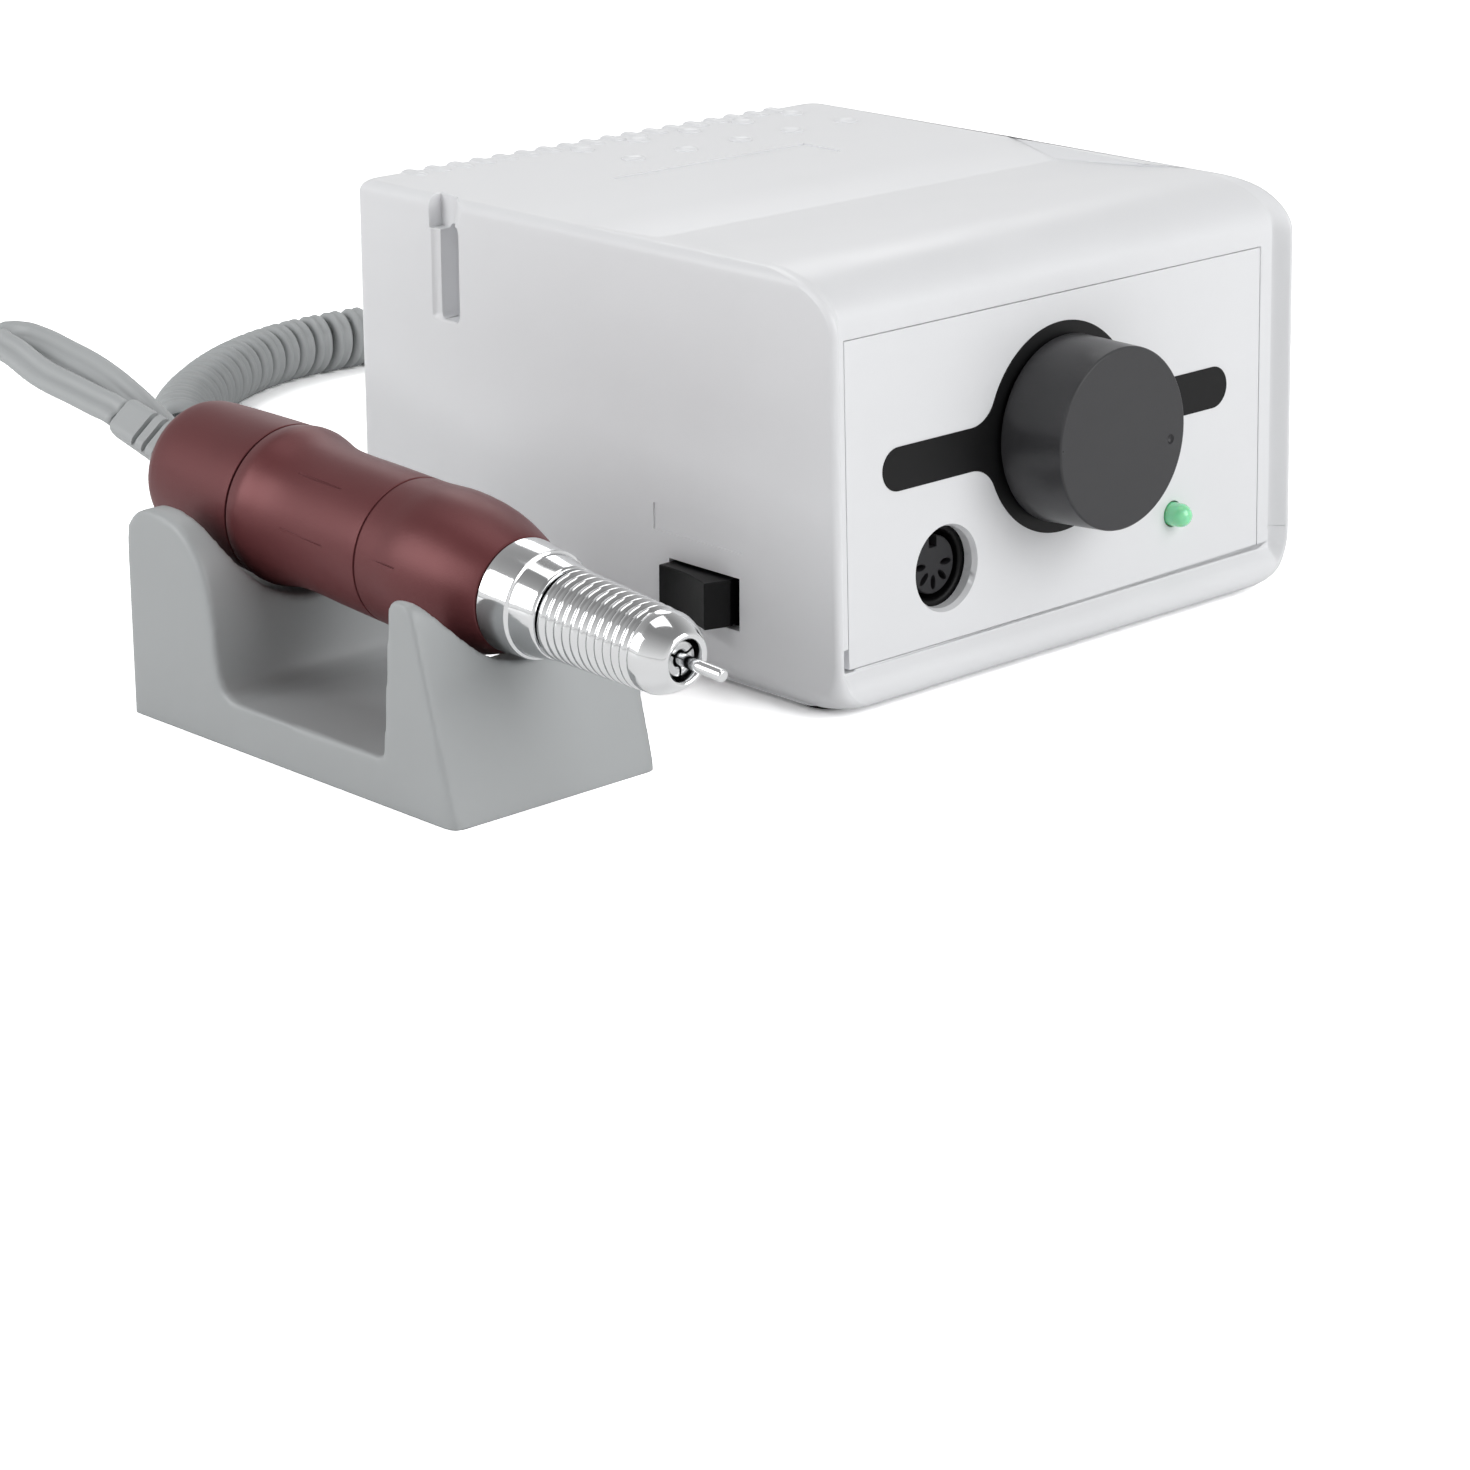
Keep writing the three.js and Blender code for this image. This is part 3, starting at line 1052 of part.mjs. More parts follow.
// The centre line of the curls: a helix of even turns about the axis, with a straight stub at each end
function curlLine() {
  const axis = routeCurve(curlAxis.map(([x, y]) => fromBox([x, y, curl.height])));
  const radius = curl.outerRadius - curl.wireThickness / 2;
  const count = curl.turns * curl.stepsPerTurn;
  const line = [];
  for (let i = 0; i <= count; i++) {
    const share = i / count;
    const centre = axis.getPointAt(share);
    const along = axis.getTangentAt(share);
    const side = new THREE.Vector3(along.y, -along.x, 0);
    const angle = curl.startAngle + i * 2 * Math.PI / curl.stepsPerTurn;
    const outward = side.multiplyScalar(Math.cos(angle)).setZ(Math.sin(angle));
    line.push({ point: centre.addScaledVector(outward, radius), outward });
  }
  const stub = (from, to) => {
    const direction = to.point.clone().sub(from.point).setZ(0).normalize();
    return { point: to.point.clone().addScaledVector(direction, curl.stub), outward: to.outward.clone() };
  };
  line.unshift(stub(line[1], line[0]));
  line.push(stub(line[line.length - 2], line[line.length - 1]));
  return line;
}

// One closed tube of flat section along a line of points that each know which way is outward
function flatTube(line, width, thickness, sides) {
  const positions = [];
  const index = [];
  line.forEach(({ point, outward }, i) => {
    const before = line[Math.max(i - 1, 0)].point;
    const after = line[Math.min(i + 1, line.length - 1)].point;
    const along = after.clone().sub(before).normalize();
    const across = new THREE.Vector3().crossVectors(along, outward).normalize();
    const out = new THREE.Vector3().crossVectors(across, along).normalize();
    for (let j = 0; j < sides; j++) {
      const angle = j * 2 * Math.PI / sides;
      const corner = point.clone().addScaledVector(out, thickness / 2 * Math.cos(angle));
      corner.addScaledVector(across, width / 2 * Math.sin(angle));
      positions.push(corner.x, corner.y, corner.z);
    }
  });
  for (let i = 0; i + 1 < line.length; i++) {
    for (let j = 0; j < sides; j++) {
      const [a, b] = [i * sides + j, i * sides + (j + 1) % sides];
      index.push(a, b, a + sides, b, b + sides, a + sides);
    }
  }
  const last = (line.length - 1) * sides;
  for (let j = 1; j + 1 < sides; j++) {
    index.push(0, j + 1, j);
    index.push(last, last + j, last + j + 1);
  }
  const geometry = new THREE.BufferGeometry();
  geometry.setAttribute('position', new THREE.Float32BufferAttribute(positions, 3));
  geometry.setIndex(index);
  geometry.computeVertexNormals();
  return geometry;
}

// The least gap between neighbouring turns, measured between points on their facing sides
function leastTurnGap(line) {
  let least = Infinity;
  for (let i = 1; i + curl.stepsPerTurn < line.length - 1; i++) {
    for (let k = -1; k <= 1; k++) {
      const j = i + curl.stepsPerTurn + k;
      if (j >= line.length - 1) continue;
      const distance = line[i].point.distanceTo(line[j].point);
      least = Math.min(least, distance - curl.wireWidth);
    }
  }
  return least;
}

const curls = curlLine();
console.log(`least gap between turns of curly_cord ${leastTurnGap(curls).toFixed(2)} mm`);
mesh('curly_cord', flatTube(curls, curl.wireWidth, curl.wireThickness, curl.sides), cordGrey, cord);

// The lead starts just behind the strain relief and ends just before the first curl
const leadRise = tool.tilt + relief.rise;
const [reliefBase, reliefLength] = [tool.frontSleeveEnd, relief.length + gap];
const reliefEnd = new THREE.Vector3(
  cradleX,
  toolY + reliefBase * Math.cos(tool.tilt) + reliefLength * Math.cos(leadRise),
  tool.restHeight + reliefBase * Math.sin(tool.tilt) + reliefLength * Math.sin(leadRise),
);
const backward = new THREE.Vector3(0, Math.cos(leadRise), Math.sin(leadRise));
const firstCurl = curls[0].point;
const intoCurl = curls[1].point.clone().sub(firstCurl).setZ(0).normalize();
const lastCurl = curls[curls.length - 1].point;
const outOfCurl = lastCurl.clone().sub(curls[curls.length - 2].point).setZ(0).normalize();
const fromEnd = (point, direction, distance) => point.clone().addScaledVector(direction, distance).toArray();

mesh('handpiece_lead', plainTube([
  fromEnd(reliefEnd, backward, 0), fromEnd(reliefEnd, backward, lead.diameter), ...leadRoute.map(fromBox),
  fromEnd(firstCurl, intoCurl, -gap - lead.diameter), fromEnd(firstCurl, intoCurl, -gap),
], 52), cordGrey, cord);

const plugTail = new THREE.Vector3(...fromBox([plugPlace.x, plugPlace.y, plug.gripRadius]));
const plugBody = new THREE.Group();
const forward = [Math.cos(plugPlace.heading), Math.sin(plugPlace.heading), 0];
plugBody.applyMatrix4(basis([-forward[1], forward[0], 0], [0, 0, 1], forward, plugTail.toArray()));
cord.add(plugBody);
const plugDirection = new THREE.Vector3(...forward);

mesh('plug_lead', plainTube([
  fromEnd(lastCurl, outOfCurl, gap), fromEnd(lastCurl, outOfCurl, gap + lead.diameter), ...plugRoute.map(fromBox),
  fromEnd(plugTail, plugDirection, -gap - lead.diameter), fromEnd(plugTail, plugDirection, -gap),
], 20), cordGrey, cord);

// The plug: a moulded grip, the metal shield, and the insert with its five pins

const gripEnd = plug.tailLength + plug.gripLength;
const seatStart = gripEnd - plug.shieldSeat;
const shieldBore = plug.shieldRadius - plug.shieldWall;
mesh('din_plug_grip', turned([
  [0, 0], [plug.tailRadius, 0], [plug.tailRadius, plug.tailLength], [plug.gripRadius, plug.tailLength + plug.tailRadius],
  [plug.gripRadius, gripEnd], [plug.shieldRadius + gap, gripEnd], [plug.shieldRadius + gap, seatStart], [0, seatStart],
], roundSides), cordGrey, plugBody);
mesh('din_plug_shield', ring(plug.shieldRadius, shieldBore, seatStart + gap, gripEnd + plug.shieldReach), polished, plugBody);

function plugInsert() {
  const start = seatStart + gap;
  const face = start + plug.insertThickness;
  let body = disc(shieldBore - gap, start, face);
  for (let i = 0; i < 5; i++) {
    const angle = Math.PI + i * THREE.MathUtils.degToRad(plug.pinSweep) / 4;
    const prong = disc(plug.pinRadius, face - overrun, face + plug.pinReach, smallSides / 2);
    body = body.add(moved(prong, plug.pinCircle * Math.cos(angle), plug.pinCircle * Math.sin(angle), 0));
  }
  return body;
}
mesh('din_plug_insert', plugInsert(), steel, plugBody);

export default object;
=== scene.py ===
# Electric nail drill: a white control box, and beside it a grey cradle in which a red-brown
# micro-motor handpiece lies, with a curly cord that runs behind the box. Sizes are in
# millimetres times mm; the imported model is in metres, and every place is in its frame.

import json
import math

import bmesh
import bpy
from mathutils import Matrix, Vector


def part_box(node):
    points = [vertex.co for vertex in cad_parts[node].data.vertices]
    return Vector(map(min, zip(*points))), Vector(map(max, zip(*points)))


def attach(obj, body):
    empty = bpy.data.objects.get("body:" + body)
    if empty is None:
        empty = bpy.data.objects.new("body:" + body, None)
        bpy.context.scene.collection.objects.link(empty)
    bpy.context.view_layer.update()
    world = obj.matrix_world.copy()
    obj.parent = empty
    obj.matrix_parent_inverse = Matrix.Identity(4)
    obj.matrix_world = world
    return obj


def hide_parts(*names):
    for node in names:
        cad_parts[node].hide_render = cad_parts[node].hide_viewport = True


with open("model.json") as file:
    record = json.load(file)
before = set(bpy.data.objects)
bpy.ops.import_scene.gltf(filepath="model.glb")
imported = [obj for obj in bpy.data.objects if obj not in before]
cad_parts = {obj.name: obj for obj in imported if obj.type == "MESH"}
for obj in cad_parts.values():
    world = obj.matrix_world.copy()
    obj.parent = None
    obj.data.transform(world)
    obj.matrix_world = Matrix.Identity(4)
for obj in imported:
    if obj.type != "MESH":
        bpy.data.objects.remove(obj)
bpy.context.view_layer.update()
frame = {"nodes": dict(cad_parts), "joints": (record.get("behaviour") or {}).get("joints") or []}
mm = 0.001
joints = {joint["name"]: joint for joint in frame["joints"]}

# Camera
# A long lens a metre and a bit away, to the left of the box and a little above it, so that the
# front, the left wall and the top all show.

camera_place = Vector((-536.9, -570.95, 248.07)) * mm
camera_turn = math.radians(-42.41)
camera_fall = math.radians(17.87)
camera_roll = math.radians(-0.416)
back = Vector((math.sin(camera_turn) * math.cos(camera_fall), -math.cos(camera_turn) * math.cos(camera_fall),
               math.sin(camera_fall)))
level = back.cross(Vector((0, 0, 1))).normalized() * -1
upright = back.cross(level)
right = math.cos(camera_roll) * level + math.sin(camera_roll) * upright
up = math.cos(camera_roll) * upright - math.sin(camera_roll) * level
lens = bpy.data.cameras.new("studio_camera")
lens.sensor_width = 36
lens.lens = 97.45
lens.shift_x = 0.0513
lens.shift_y = -0.0507
lens.clip_start = 0.05
lens.clip_end = 50
camera = bpy.data.objects.new("studio_camera", lens)
camera.matrix_world = Matrix((right, up, back)).transposed().to_4x4()
camera.location = camera_place
bpy.context.scene.collection.objects.link(camera)
bpy.context.scene.camera = camera
bpy.context.scene.view_settings.view_transform = "Standard"

# Cord
# One flexible lead of soft grey PVC: a flat twin out of the handpiece, a tight hairpin, then
# thirty-six curls wound on a mandrel and set by heat, and a short plain end with the plug.

box_low, box_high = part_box("top_cover")
box_left = box_low.x
box_front = box_high.y - 143.6 * mm
tool_axis = Vector(joints["chuck_twist"]["axis"])
sleeve_end = Vector(joints["chuck_twist"]["pos_m"])
sleeve_station = 98.5 * mm
tool_length = 26 * mm
relief_rise = math.radians(3.1 + 9)
relief_base = sleeve_end - tool_axis * sleeve_station
relief_direction = Vector((0, math.cos(relief_rise), math.sin(relief_rise)))
relief_end = relief_base + relief_direction * (tool_length + 0.3 * mm)


def from_box(x, y, z):
    """A place measured from the lower front left corner of the box, as the routes are."""
    return Vector((box_left + x * mm, box_front + y * mm, z * mm))


lead_route = [
    (-65.7, 145, 49.3), (-65.7, 154, 50.4), (-65.7, 166.5, 52), (-65.2, 177, 54.6), (-64.4, 183.5, 55.3),
    (-61.5, 187.6, 55.6), (-58.6, 184.6, 55.8), (-57.9, 178.5, 55.6), (-57.8, 168.5, 54.4), (-57.6, 157, 52.4),
    (-57.2, 146.5, 48.8), (-56.4, 137.8, 44.4), (-54, 129.5, 38.5), (-48, 125, 31), (-39, 125.5, 23.5),
    (-29.5, 131.5, 17), (-18, 145, 10), (-5.5, 166, 5), (6, 189, 3.6), (20, 212, 4.2), (31, 226, 7),
]
curl_axis = [
    (26.5, 247.4), (29.8, 252.3), (34.9, 258.6), (41.8, 265.5), (51.6, 273.7), (63.5, 282.2), (75.8, 289),
    (87.5, 293.4), (97.3, 295.4), (108.3, 295.7), (118.4, 295.2), (127, 293.4), (136.5, 289.4), (145.8, 282.6),
    (152.8, 273.6), (157.2, 262.8), (158.6, 251.4), (156.6, 240), (151.2, 229.8), (143.2, 221.6), (133.2, 216),
    (122.2, 213), (111.2, 212.1),
]
plug_route = [(107, 193, 5.5), (99, 183.5, 3.6), (86, 174, 4.4), (74, 169.3, 6.2)]
curl_height = 7.9
curl_count = 36.25
curl_steps = 28
curl_start = math.pi / 4
curl_radius = 6.15 * mm
curl_wire = (5.2 * mm, 3.2 * mm)
lead_wire = (6.4 * mm, 3.3 * mm)
plug_radius = 7.4 * mm
plug_tail = from_box(60, 168.3, 7.4)


def along(points, step):
    """Evenly spaced points on the smooth curve through the given ones."""
    curve = bpy.data.curves.new("route", "CURVE")
    curve.dimensions = "3D"
    curve.resolution_u = 24
    spline = curve.splines.new("BEZIER")
    spline.bezier_points.add(len(points) - 1)
    for bezier, place in zip(spline.bezier_points, points):
        bezier.co = place
        bezier.handle_left_type = "AUTO"
        bezier.handle_right_type = "AUTO"
    holder = bpy.data.objects.new("route", curve)
    bpy.context.scene.collection.objects.link(holder)
    bpy.context.view_layer.update()
    shown = holder.evaluated_get(bpy.context.evaluated_depsgraph_get())
    fine = [vertex.co.copy() for vertex in shown.to_mesh().vertices]
    bpy.data.objects.remove(holder)
    lengths = [0]
    for before, after in zip(fine, fine[1:]):
        lengths.append(lengths[-1] + (after - before).length)
    count = max(2, round(lengths[-1] / step))
    even = []
    i = 0
    for k in range(count + 1):
        wanted = lengths[-1] * k / count
        while i + 2 < len(fine) and lengths[i + 1] < wanted:
            i += 1
        share = (wanted - lengths[i]) / max(lengths[i + 1] - lengths[i], 1e-9)
        even.append(fine[i].lerp(fine[i + 1], share))
    return even


def curls():
    """The centre line of the curls, each point with the way that is outward from the axis."""
    axis = along([from_box(x, y, curl_height) for x, y in curl_axis], 1 * mm)
    count = round(curl_count * curl_steps)
    line = []
    for i in range(count + 1):
        at = i / count * (len(axis) - 1)
        k = min(int(at), len(axis) - 2)
        centre = axis[k].lerp(axis[k + 1], at - k)
        ahead = (axis[k + 1] - axis[k]).normalized()
        angle = curl_start + i * 2 * math.pi / curl_steps
        side = Vector((ahead.y, -ahead.x, 0))
        outward = side * math.cos(angle) + Vector((0, 0, 1)) * math.sin(angle)
        line.append((centre + outward * curl_radius, outward))
    return line


def tube(name, line, widths, section):
    """A closed skin round a line of (point, outward) pairs; section is round the wire in shares."""
    verts = []
    faces = []
    last = len(line) - 1
    sides = len(section)
    for i, (point, outward) in enumerate(line):
        ahead = (line[min(i + 1, last)][0] - line[max(i - 1, 0)][0]).normalized()
        across = ahead.cross(outward).normalized()
        out = across.cross(ahead)
        wide, thick = widths[i]
        for a, b in section:
            verts.append(point + across * (a * wide / 2) + out * (b * thick / 2))
    for i in range(last):
        for j in range(sides):
            k = (j + 1) % sides
            faces.append((i * sides + j, i * sides + k, (i + 1) * sides + k, (i + 1) * sides + j))
    faces.append(tuple(reversed(range(sides))))
    faces.append(tuple(last * sides + j for j in range(sides)))
    mesh = bpy.data.meshes.new(name)
    mesh.from_pydata(verts, [], faces)
    piece = bpy.data.objects.new(name, mesh)
    bpy.context.scene.collection.objects.link(piece)
    for face in mesh.polygons:
        face.use_smooth = len(face.vertices) == 4
    return piece


def twin_section(sides, waist):
    """A flat twin lead: two round cores side by side, joined by a waist of the given share."""
    points = []
    for j in range(sides):
        angle = 2 * math.pi * j / sides
        a = math.cos(angle)
        b = max(waist, math.sqrt(max(0, 1 - (2 * abs(a) - 1) ** 2)))
        points.append((a, math.copysign(b, math.sin(angle)) if abs(a) < 0.999 else 0))
    return points


lead_points = [relief_end, relief_end + relief_direction * 4.6 * mm, *(from_box(*p) for p in lead_route)]
curl_line = curls()
first, last = curl_line[0], curl_line[-1]
into_curl = (curl_line[1][0] - first[0]).normalized()
out_of_curl = (last[0] - curl_line[-2][0]).normalized()
lead_points.append(first[0] - into_curl * 9 * mm)
lead_line = along([*lead_points, first[0]], 1.6 * mm)
plug_points = [last[0] + out_of_curl * 9 * mm, *(from_box(*p) for p in plug_route), plug_tail]
plug_points[-1] += Vector((4.6 * mm, 0, 0))
plug_line = along([last[0], *plug_points, plug_tail - Vector((2 * mm, 0, 0))], 1.6 * mm)
lead_outward = Vector((-0.64, -0.36, 0.68)).normalized()
cord_line = []
cord_widths = []
for i, point in enumerate(lead_line[:-1]):
    share = i / len(lead_line)
    turn = max(0, min(1, (share - 0.55) / 0.35))
    cord_line.append((point, lead_outward.lerp(first[1], turn).normalized()))
    cord_widths.append([a + (b - a) * turn for a, b in zip(lead_wire, curl_wire)])
for point, outward in curl_line:
    cord_line.append((point, outward))
    cord_widths.append(curl_wire)
for i, point in enumerate(plug_line[1:]):
    turn = min(1, i / len(plug_line) * 2)
    cord_line.append((point, last[1].lerp(Vector((0, 0, 1)), turn).normalized()))
    cord_widths.append(curl_wire)
cord = tube("cord", cord_line, cord_widths, twin_section(20, 0.45))
bpy.context.view_layer.update()

# Floor and light
# A pale sweep in a white room whose walls are bright and whose ceiling is dim, with a big soft
# lamp at the front right and three weaker ones; the floor is white where nothing shades it.


def linear(code):
    """An sRGB hex colour as the linear values that a shader takes."""
    parts = [int(code[i:i + 2], 16) / 255 for i in (1, 3, 5)]
    return (*(c / 12.92 if c <= 0.04045 else ((c + 0.055) / 1.055) ** 2.4 for c in parts), 1)


def add(tree, kind, settings=None, links=None):
    """Adds a node to a tree, with its settings and with what its inputs are linked to."""
    made = tree.nodes.new(kind)
    for name, value in (settings or {}).items():
        if isinstance(name, str) and hasattr(made, name):
            setattr(made, name, value)
        else:
            made.inputs[name].default_value = value
    for name, (source, output) in (links or {}).items():
        tree.links.new(source.outputs[output], made.inputs[name])
    return made


floor_size = 12
bpy.ops.object.select_all(action="DESELECT")
bpy.ops.mesh.primitive_plane_add(size=floor_size, location=(0, 0, 0))
floor = bpy.context.object
floor.name = "floor"
paper = bpy.data.materials.new("paper_sweep")
paper.use_nodes = True
tree = paper.node_tree
tree.nodes.clear()
path = add(tree, "ShaderNodeLightPath")
mirrored = add(tree, "ShaderNodeMix", {"data_type": "RGBA", 6: (0.9, 0.9, 0.9, 1), 7: (1.1, 1.1, 1.1, 1)},
               {0: (path, "Is Glossy Ray")})
seen = add(tree, "ShaderNodeMix", {"data_type": "RGBA", 7: (2.3, 2.3, 2.3, 1)}, {0: (path, "Is Camera Ray"), 6: (mirrored, 2)})
matt = add(tree, "ShaderNodeBsdfDiffuse", {}, {"Color": (seen, 2)})
add(tree, "ShaderNodeOutputMaterial", {}, {"Surface": (matt, 0)})
floor.data.materials.append(paper)

room = bpy.data.worlds.new("white_room")
room.use_nodes = True
tree = room.node_tree
tree.nodes.clear()
path = add(tree, "ShaderNodeLightPath")
place = add(tree, "ShaderNodeTexCoord")
parts = add(tree, "ShaderNodeSeparateXYZ", {}, {0: (place, "Generated")})
height = add(tree, "ShaderNodeMapRange", {"From Min": 0.0, "From Max": 0.9, "To Min": 1.0, "To Max": 0.3},
             {"Value": (parts, "Z")})
dimmer = add(tree, "ShaderNodeMath", {"operation": "MULTIPLY", 1: 0.43}, {0: (height, 0)})
mirrored = add(tree, "ShaderNodeMix", {"data_type": "FLOAT"}, {0: (path, "Is Glossy Ray"), 2: (dimmer, 0), 3: (height, 0)})
walls = add(tree, "ShaderNodeBackground", {"Color": (1, 1, 1, 1)}, {"Strength": (mirrored, 0)})
white = add(tree, "ShaderNodeBackground", {"Color": (1, 1, 1, 1), "Strength": 1})
both = add(tree, "ShaderNodeMixShader", {}, {0: (path, "Is Camera Ray"), 1: (walls, 0), 2: (white, 0)})
add(tree, "ShaderNodeOutputWorld", {}, {"Surface": (both, 0)})
bpy.context.scene.world = room


def lamp(name, place, size, power):
    """A square soft lamp that points at the object."""
    data = bpy.data.lights.new(name, "AREA")
    data.size = size
    data.energy = power
    made = bpy.data.objects.new(name, data)
    made.location = place
    made.rotation_euler = (Vector((0, 0, 0.04)) - Vector(place)).to_track_quat("-Z", "Y").to_euler()
    bpy.context.scene.collection.objects.link(made)


lamp("front_lamp", (0.4, -1.35, 0.75), 1.2, 15.5)
lamp("left_lamp", (-1.25, 0.6, 0.65), 0.9, 11.8)
lamp("top_lamp", (0.1, 0.3, 1.7), 1.0, 5.5)
lamp("rear_lamp", (0.95, 0.95, 1.0), 0.6, 2.2)

# Cord: its finish and its plug
# The lead's PVC is dull, with a faint mould bloom. The plug is a moulded grip on a pressed
# steel shield, with an insert that holds five plated pins on a 7 mm circle.


def plastic(name, colour, roughness, grain, bump, mottle=0.04, coat=0.0, shine=0.5):
    """Moulded plastic: a spark-eroded grain of the given size in mm, and slow clouds in its gloss."""
    material = bpy.data.materials.new(name)
    material.use_nodes = True
    tree = material.node_tree
    shader = tree.nodes["Principled BSDF"]
    shader.inputs["IOR"].default_value = 1.5
    shader.inputs["Coat Weight"].default_value = coat
    shader.inputs["Specular IOR Level"].default_value = shine
    place = add(tree, "ShaderNodeTexCoord")
    clouds = add(tree, "ShaderNodeTexNoise", {"Scale": 1 / (18 * mm), "Detail": 3}, {"Vector": (place, "Object")})
    fine = add(tree, "ShaderNodeTexNoise", {"Scale": 1 / (grain * mm), "Detail": 2}, {"Vector": (place, "Object")})
    tone = add(tree, "ShaderNodeMapRange", {"To Min": 1 - mottle, "To Max": 1 + mottle}, {"Value": (clouds, 0)})
    tint = add(tree, "ShaderNodeVectorMath", {"operation": "SCALE", 0: linear(colour)[:3]}, {"Scale": (tone, 0)})
    gloss = add(tree, "ShaderNodeMapRange", {"From Min": 0.3, "From Max": 0.7, "To Min": roughness * 0.85,
                                             "To Max": roughness * 1.15}, {"Value": (clouds, 0)})
    relief = add(tree, "ShaderNodeBump", {"Strength": bump, "Distance": 0.05 * mm}, {"Height": (fine, 0)})
    tree.links.new(tint.outputs[0], shader.inputs["Base Color"])
    tree.links.new(gloss.outputs[0], shader.inputs["Roughness"])
    tree.links.new(relief.outputs[0], shader.inputs["Normal"])
    return material


def metal(name, colour, roughness, line, bump, rings=None):
    """Turned metal: fine tool marks a line apart in mm, in rings round an axis or along the length."""
    material = bpy.data.materials.new(name)
    material.use_nodes = True
    tree = material.node_tree
    shader = tree.nodes["Principled BSDF"]
    shader.inputs["Metallic"].default_value = 1
    shader.inputs["Base Color"].default_value = linear(colour)
    place = add(tree, "ShaderNodeTexCoord")
    squeeze = add(tree, "ShaderNodeMapping", {"Scale": rings or (1, 1, 1)}, {"Vector": (place, "Object")})
    marks = add(tree, "ShaderNodeTexNoise", {"Scale": 1 / (line * mm), "Detail": 2}, {"Vector": (squeeze, 0)})
    gloss = add(tree, "ShaderNodeMapRange", {"To Min": roughness * 0.7, "To Max": roughness * 1.3}, {"Value": (marks, 0)})
    relief = add(tree, "ShaderNodeBump", {"Strength": bump, "Distance": 0.02 * mm}, {"Height": (marks, 0)})
    tree.links.new(gloss.outputs[0], shader.inputs["Roughness"])
    tree.links.new(relief.outputs[0], shader.inputs["Normal"])
    return material


def dress(piece, material, body, nodes=()):
    """Gives a piece its material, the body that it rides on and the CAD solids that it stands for."""
    piece.data.materials.clear()
    piece.data.materials.append(material)
    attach(piece, body)
    if nodes:
        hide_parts(*nodes)
    return piece


def turned(name, outline, sides=96):
    """A closed outline of (radius, height) pairs in mm, spun round +Z."""
    bpy.ops.object.select_all(action="DESELECT")
    bpy.ops.mesh.primitive_circle_add(vertices=len(outline), fill_type="NOTHING")
    piece = bpy.context.object
    piece.name = name
    for vertex, (radius, height) in zip(piece.data.vertices, outline):
        vertex.co = (radius * mm, 0, height * mm)
    bpy.ops.object.mode_set(mode="EDIT")
    bpy.ops.mesh.select_all(action="SELECT")
    bpy.ops.mesh.spin(steps=sides, angle=2 * math.pi, center=(0, 0, 0), axis=(0, 0, 1))
    bpy.ops.mesh.select_all(action="SELECT")
    bpy.ops.mesh.remove_doubles(threshold=0.002 * mm)
    bpy.ops.mesh.normals_make_consistent(inside=False)
    bpy.ops.object.mode_set(mode="OBJECT")
    return piece


def alone(piece):
    """Selects one piece and nothing else."""
    bpy.ops.object.select_all(action="DESELECT")
    piece.select_set(True)
    bpy.context.view_layer.objects.active = piece


def modify(piece, kind, **settings):
    """Adds a modifier with its settings and applies it."""
    alone(piece)
    made = piece.modifiers.new(kind.lower(), kind)
    for name, value in settings.items():
        setattr(made, name, value)
    bpy.ops.object.modifier_apply(modifier=made.name)


def soften(piece, width, segments=3, angle=35, clamp=True):
    """Rounds every edge that is sharper than the angle, and shades the rest smooth."""
    modify(piece, "BEVEL", width=width * mm, segments=segments, limit_method="ANGLE", angle_limit=math.radians(angle),
           use_clamp_overlap=clamp)
    shade(piece, angle)


def shade(piece, angle):
    """Shades a piece smooth up to the angle, with normals that keep its large flat faces flat."""
    alone(piece)
    bpy.ops.object.shade_smooth_by_angle(angle=math.radians(angle))
    modify(piece, "WEIGHTED_NORMAL", keep_sharp=True, weight=90)


def carve(piece, cutter, operation="DIFFERENCE", place=(0, 0)):
    """Cuts a piece with another, moved aside in mm, or joins the two, and the other one goes."""
    cutter.location += Vector((*place, 0)) * mm
    modify(piece, "BOOLEAN", object=cutter, operation=operation, solver="EXACT")
    bpy.data.objects.remove(cutter)


def settle(piece, matrix):
    """Moves a piece to its place in the frame and leaves its object at the origin."""
    alone(piece)
    piece.matrix_world = matrix @ piece.matrix_world
    bpy.ops.object.transform_apply(location=True, rotation=True, scale=True)
    return piece


def axes(origin, x, y, z):
    """The matrix of a set of axes in the frame."""
    made = Matrix((Vector(x), Vector(y), Vector(z))).transposed().to_4x4()
    made.translation = origin
    return made


def block(name, low, high):
    """A box between two corners in mm."""
    bpy.ops.object.select_all(action="DESELECT")
    low, high = Vector(low) * mm, Vector(high) * mm
    bpy.ops.mesh.primitive_cube_add(size=1, location=(low + high) / 2, scale=high - low)
    piece = bpy.context.object
    piece.name = name
    bpy.ops.object.transform_apply(location=True, rotation=True, scale=True)
    return piece


def rod(name, radius, low, high, place=(0, 0), sides=48):
    """An upright cylinder in mm."""
    bpy.ops.object.select_all(action="DESELECT")
    bpy.ops.mesh.primitive_cylinder_add(vertices=sides, radius=radius * mm, depth=(high - low) * mm,
                                        location=(place[0] * mm, place[1] * mm, (low + high) / 2 * mm))
    piece = bpy.context.object
    piece.name = name
    bpy.ops.object.transform_apply(location=True, rotation=True, scale=True)
    return piece


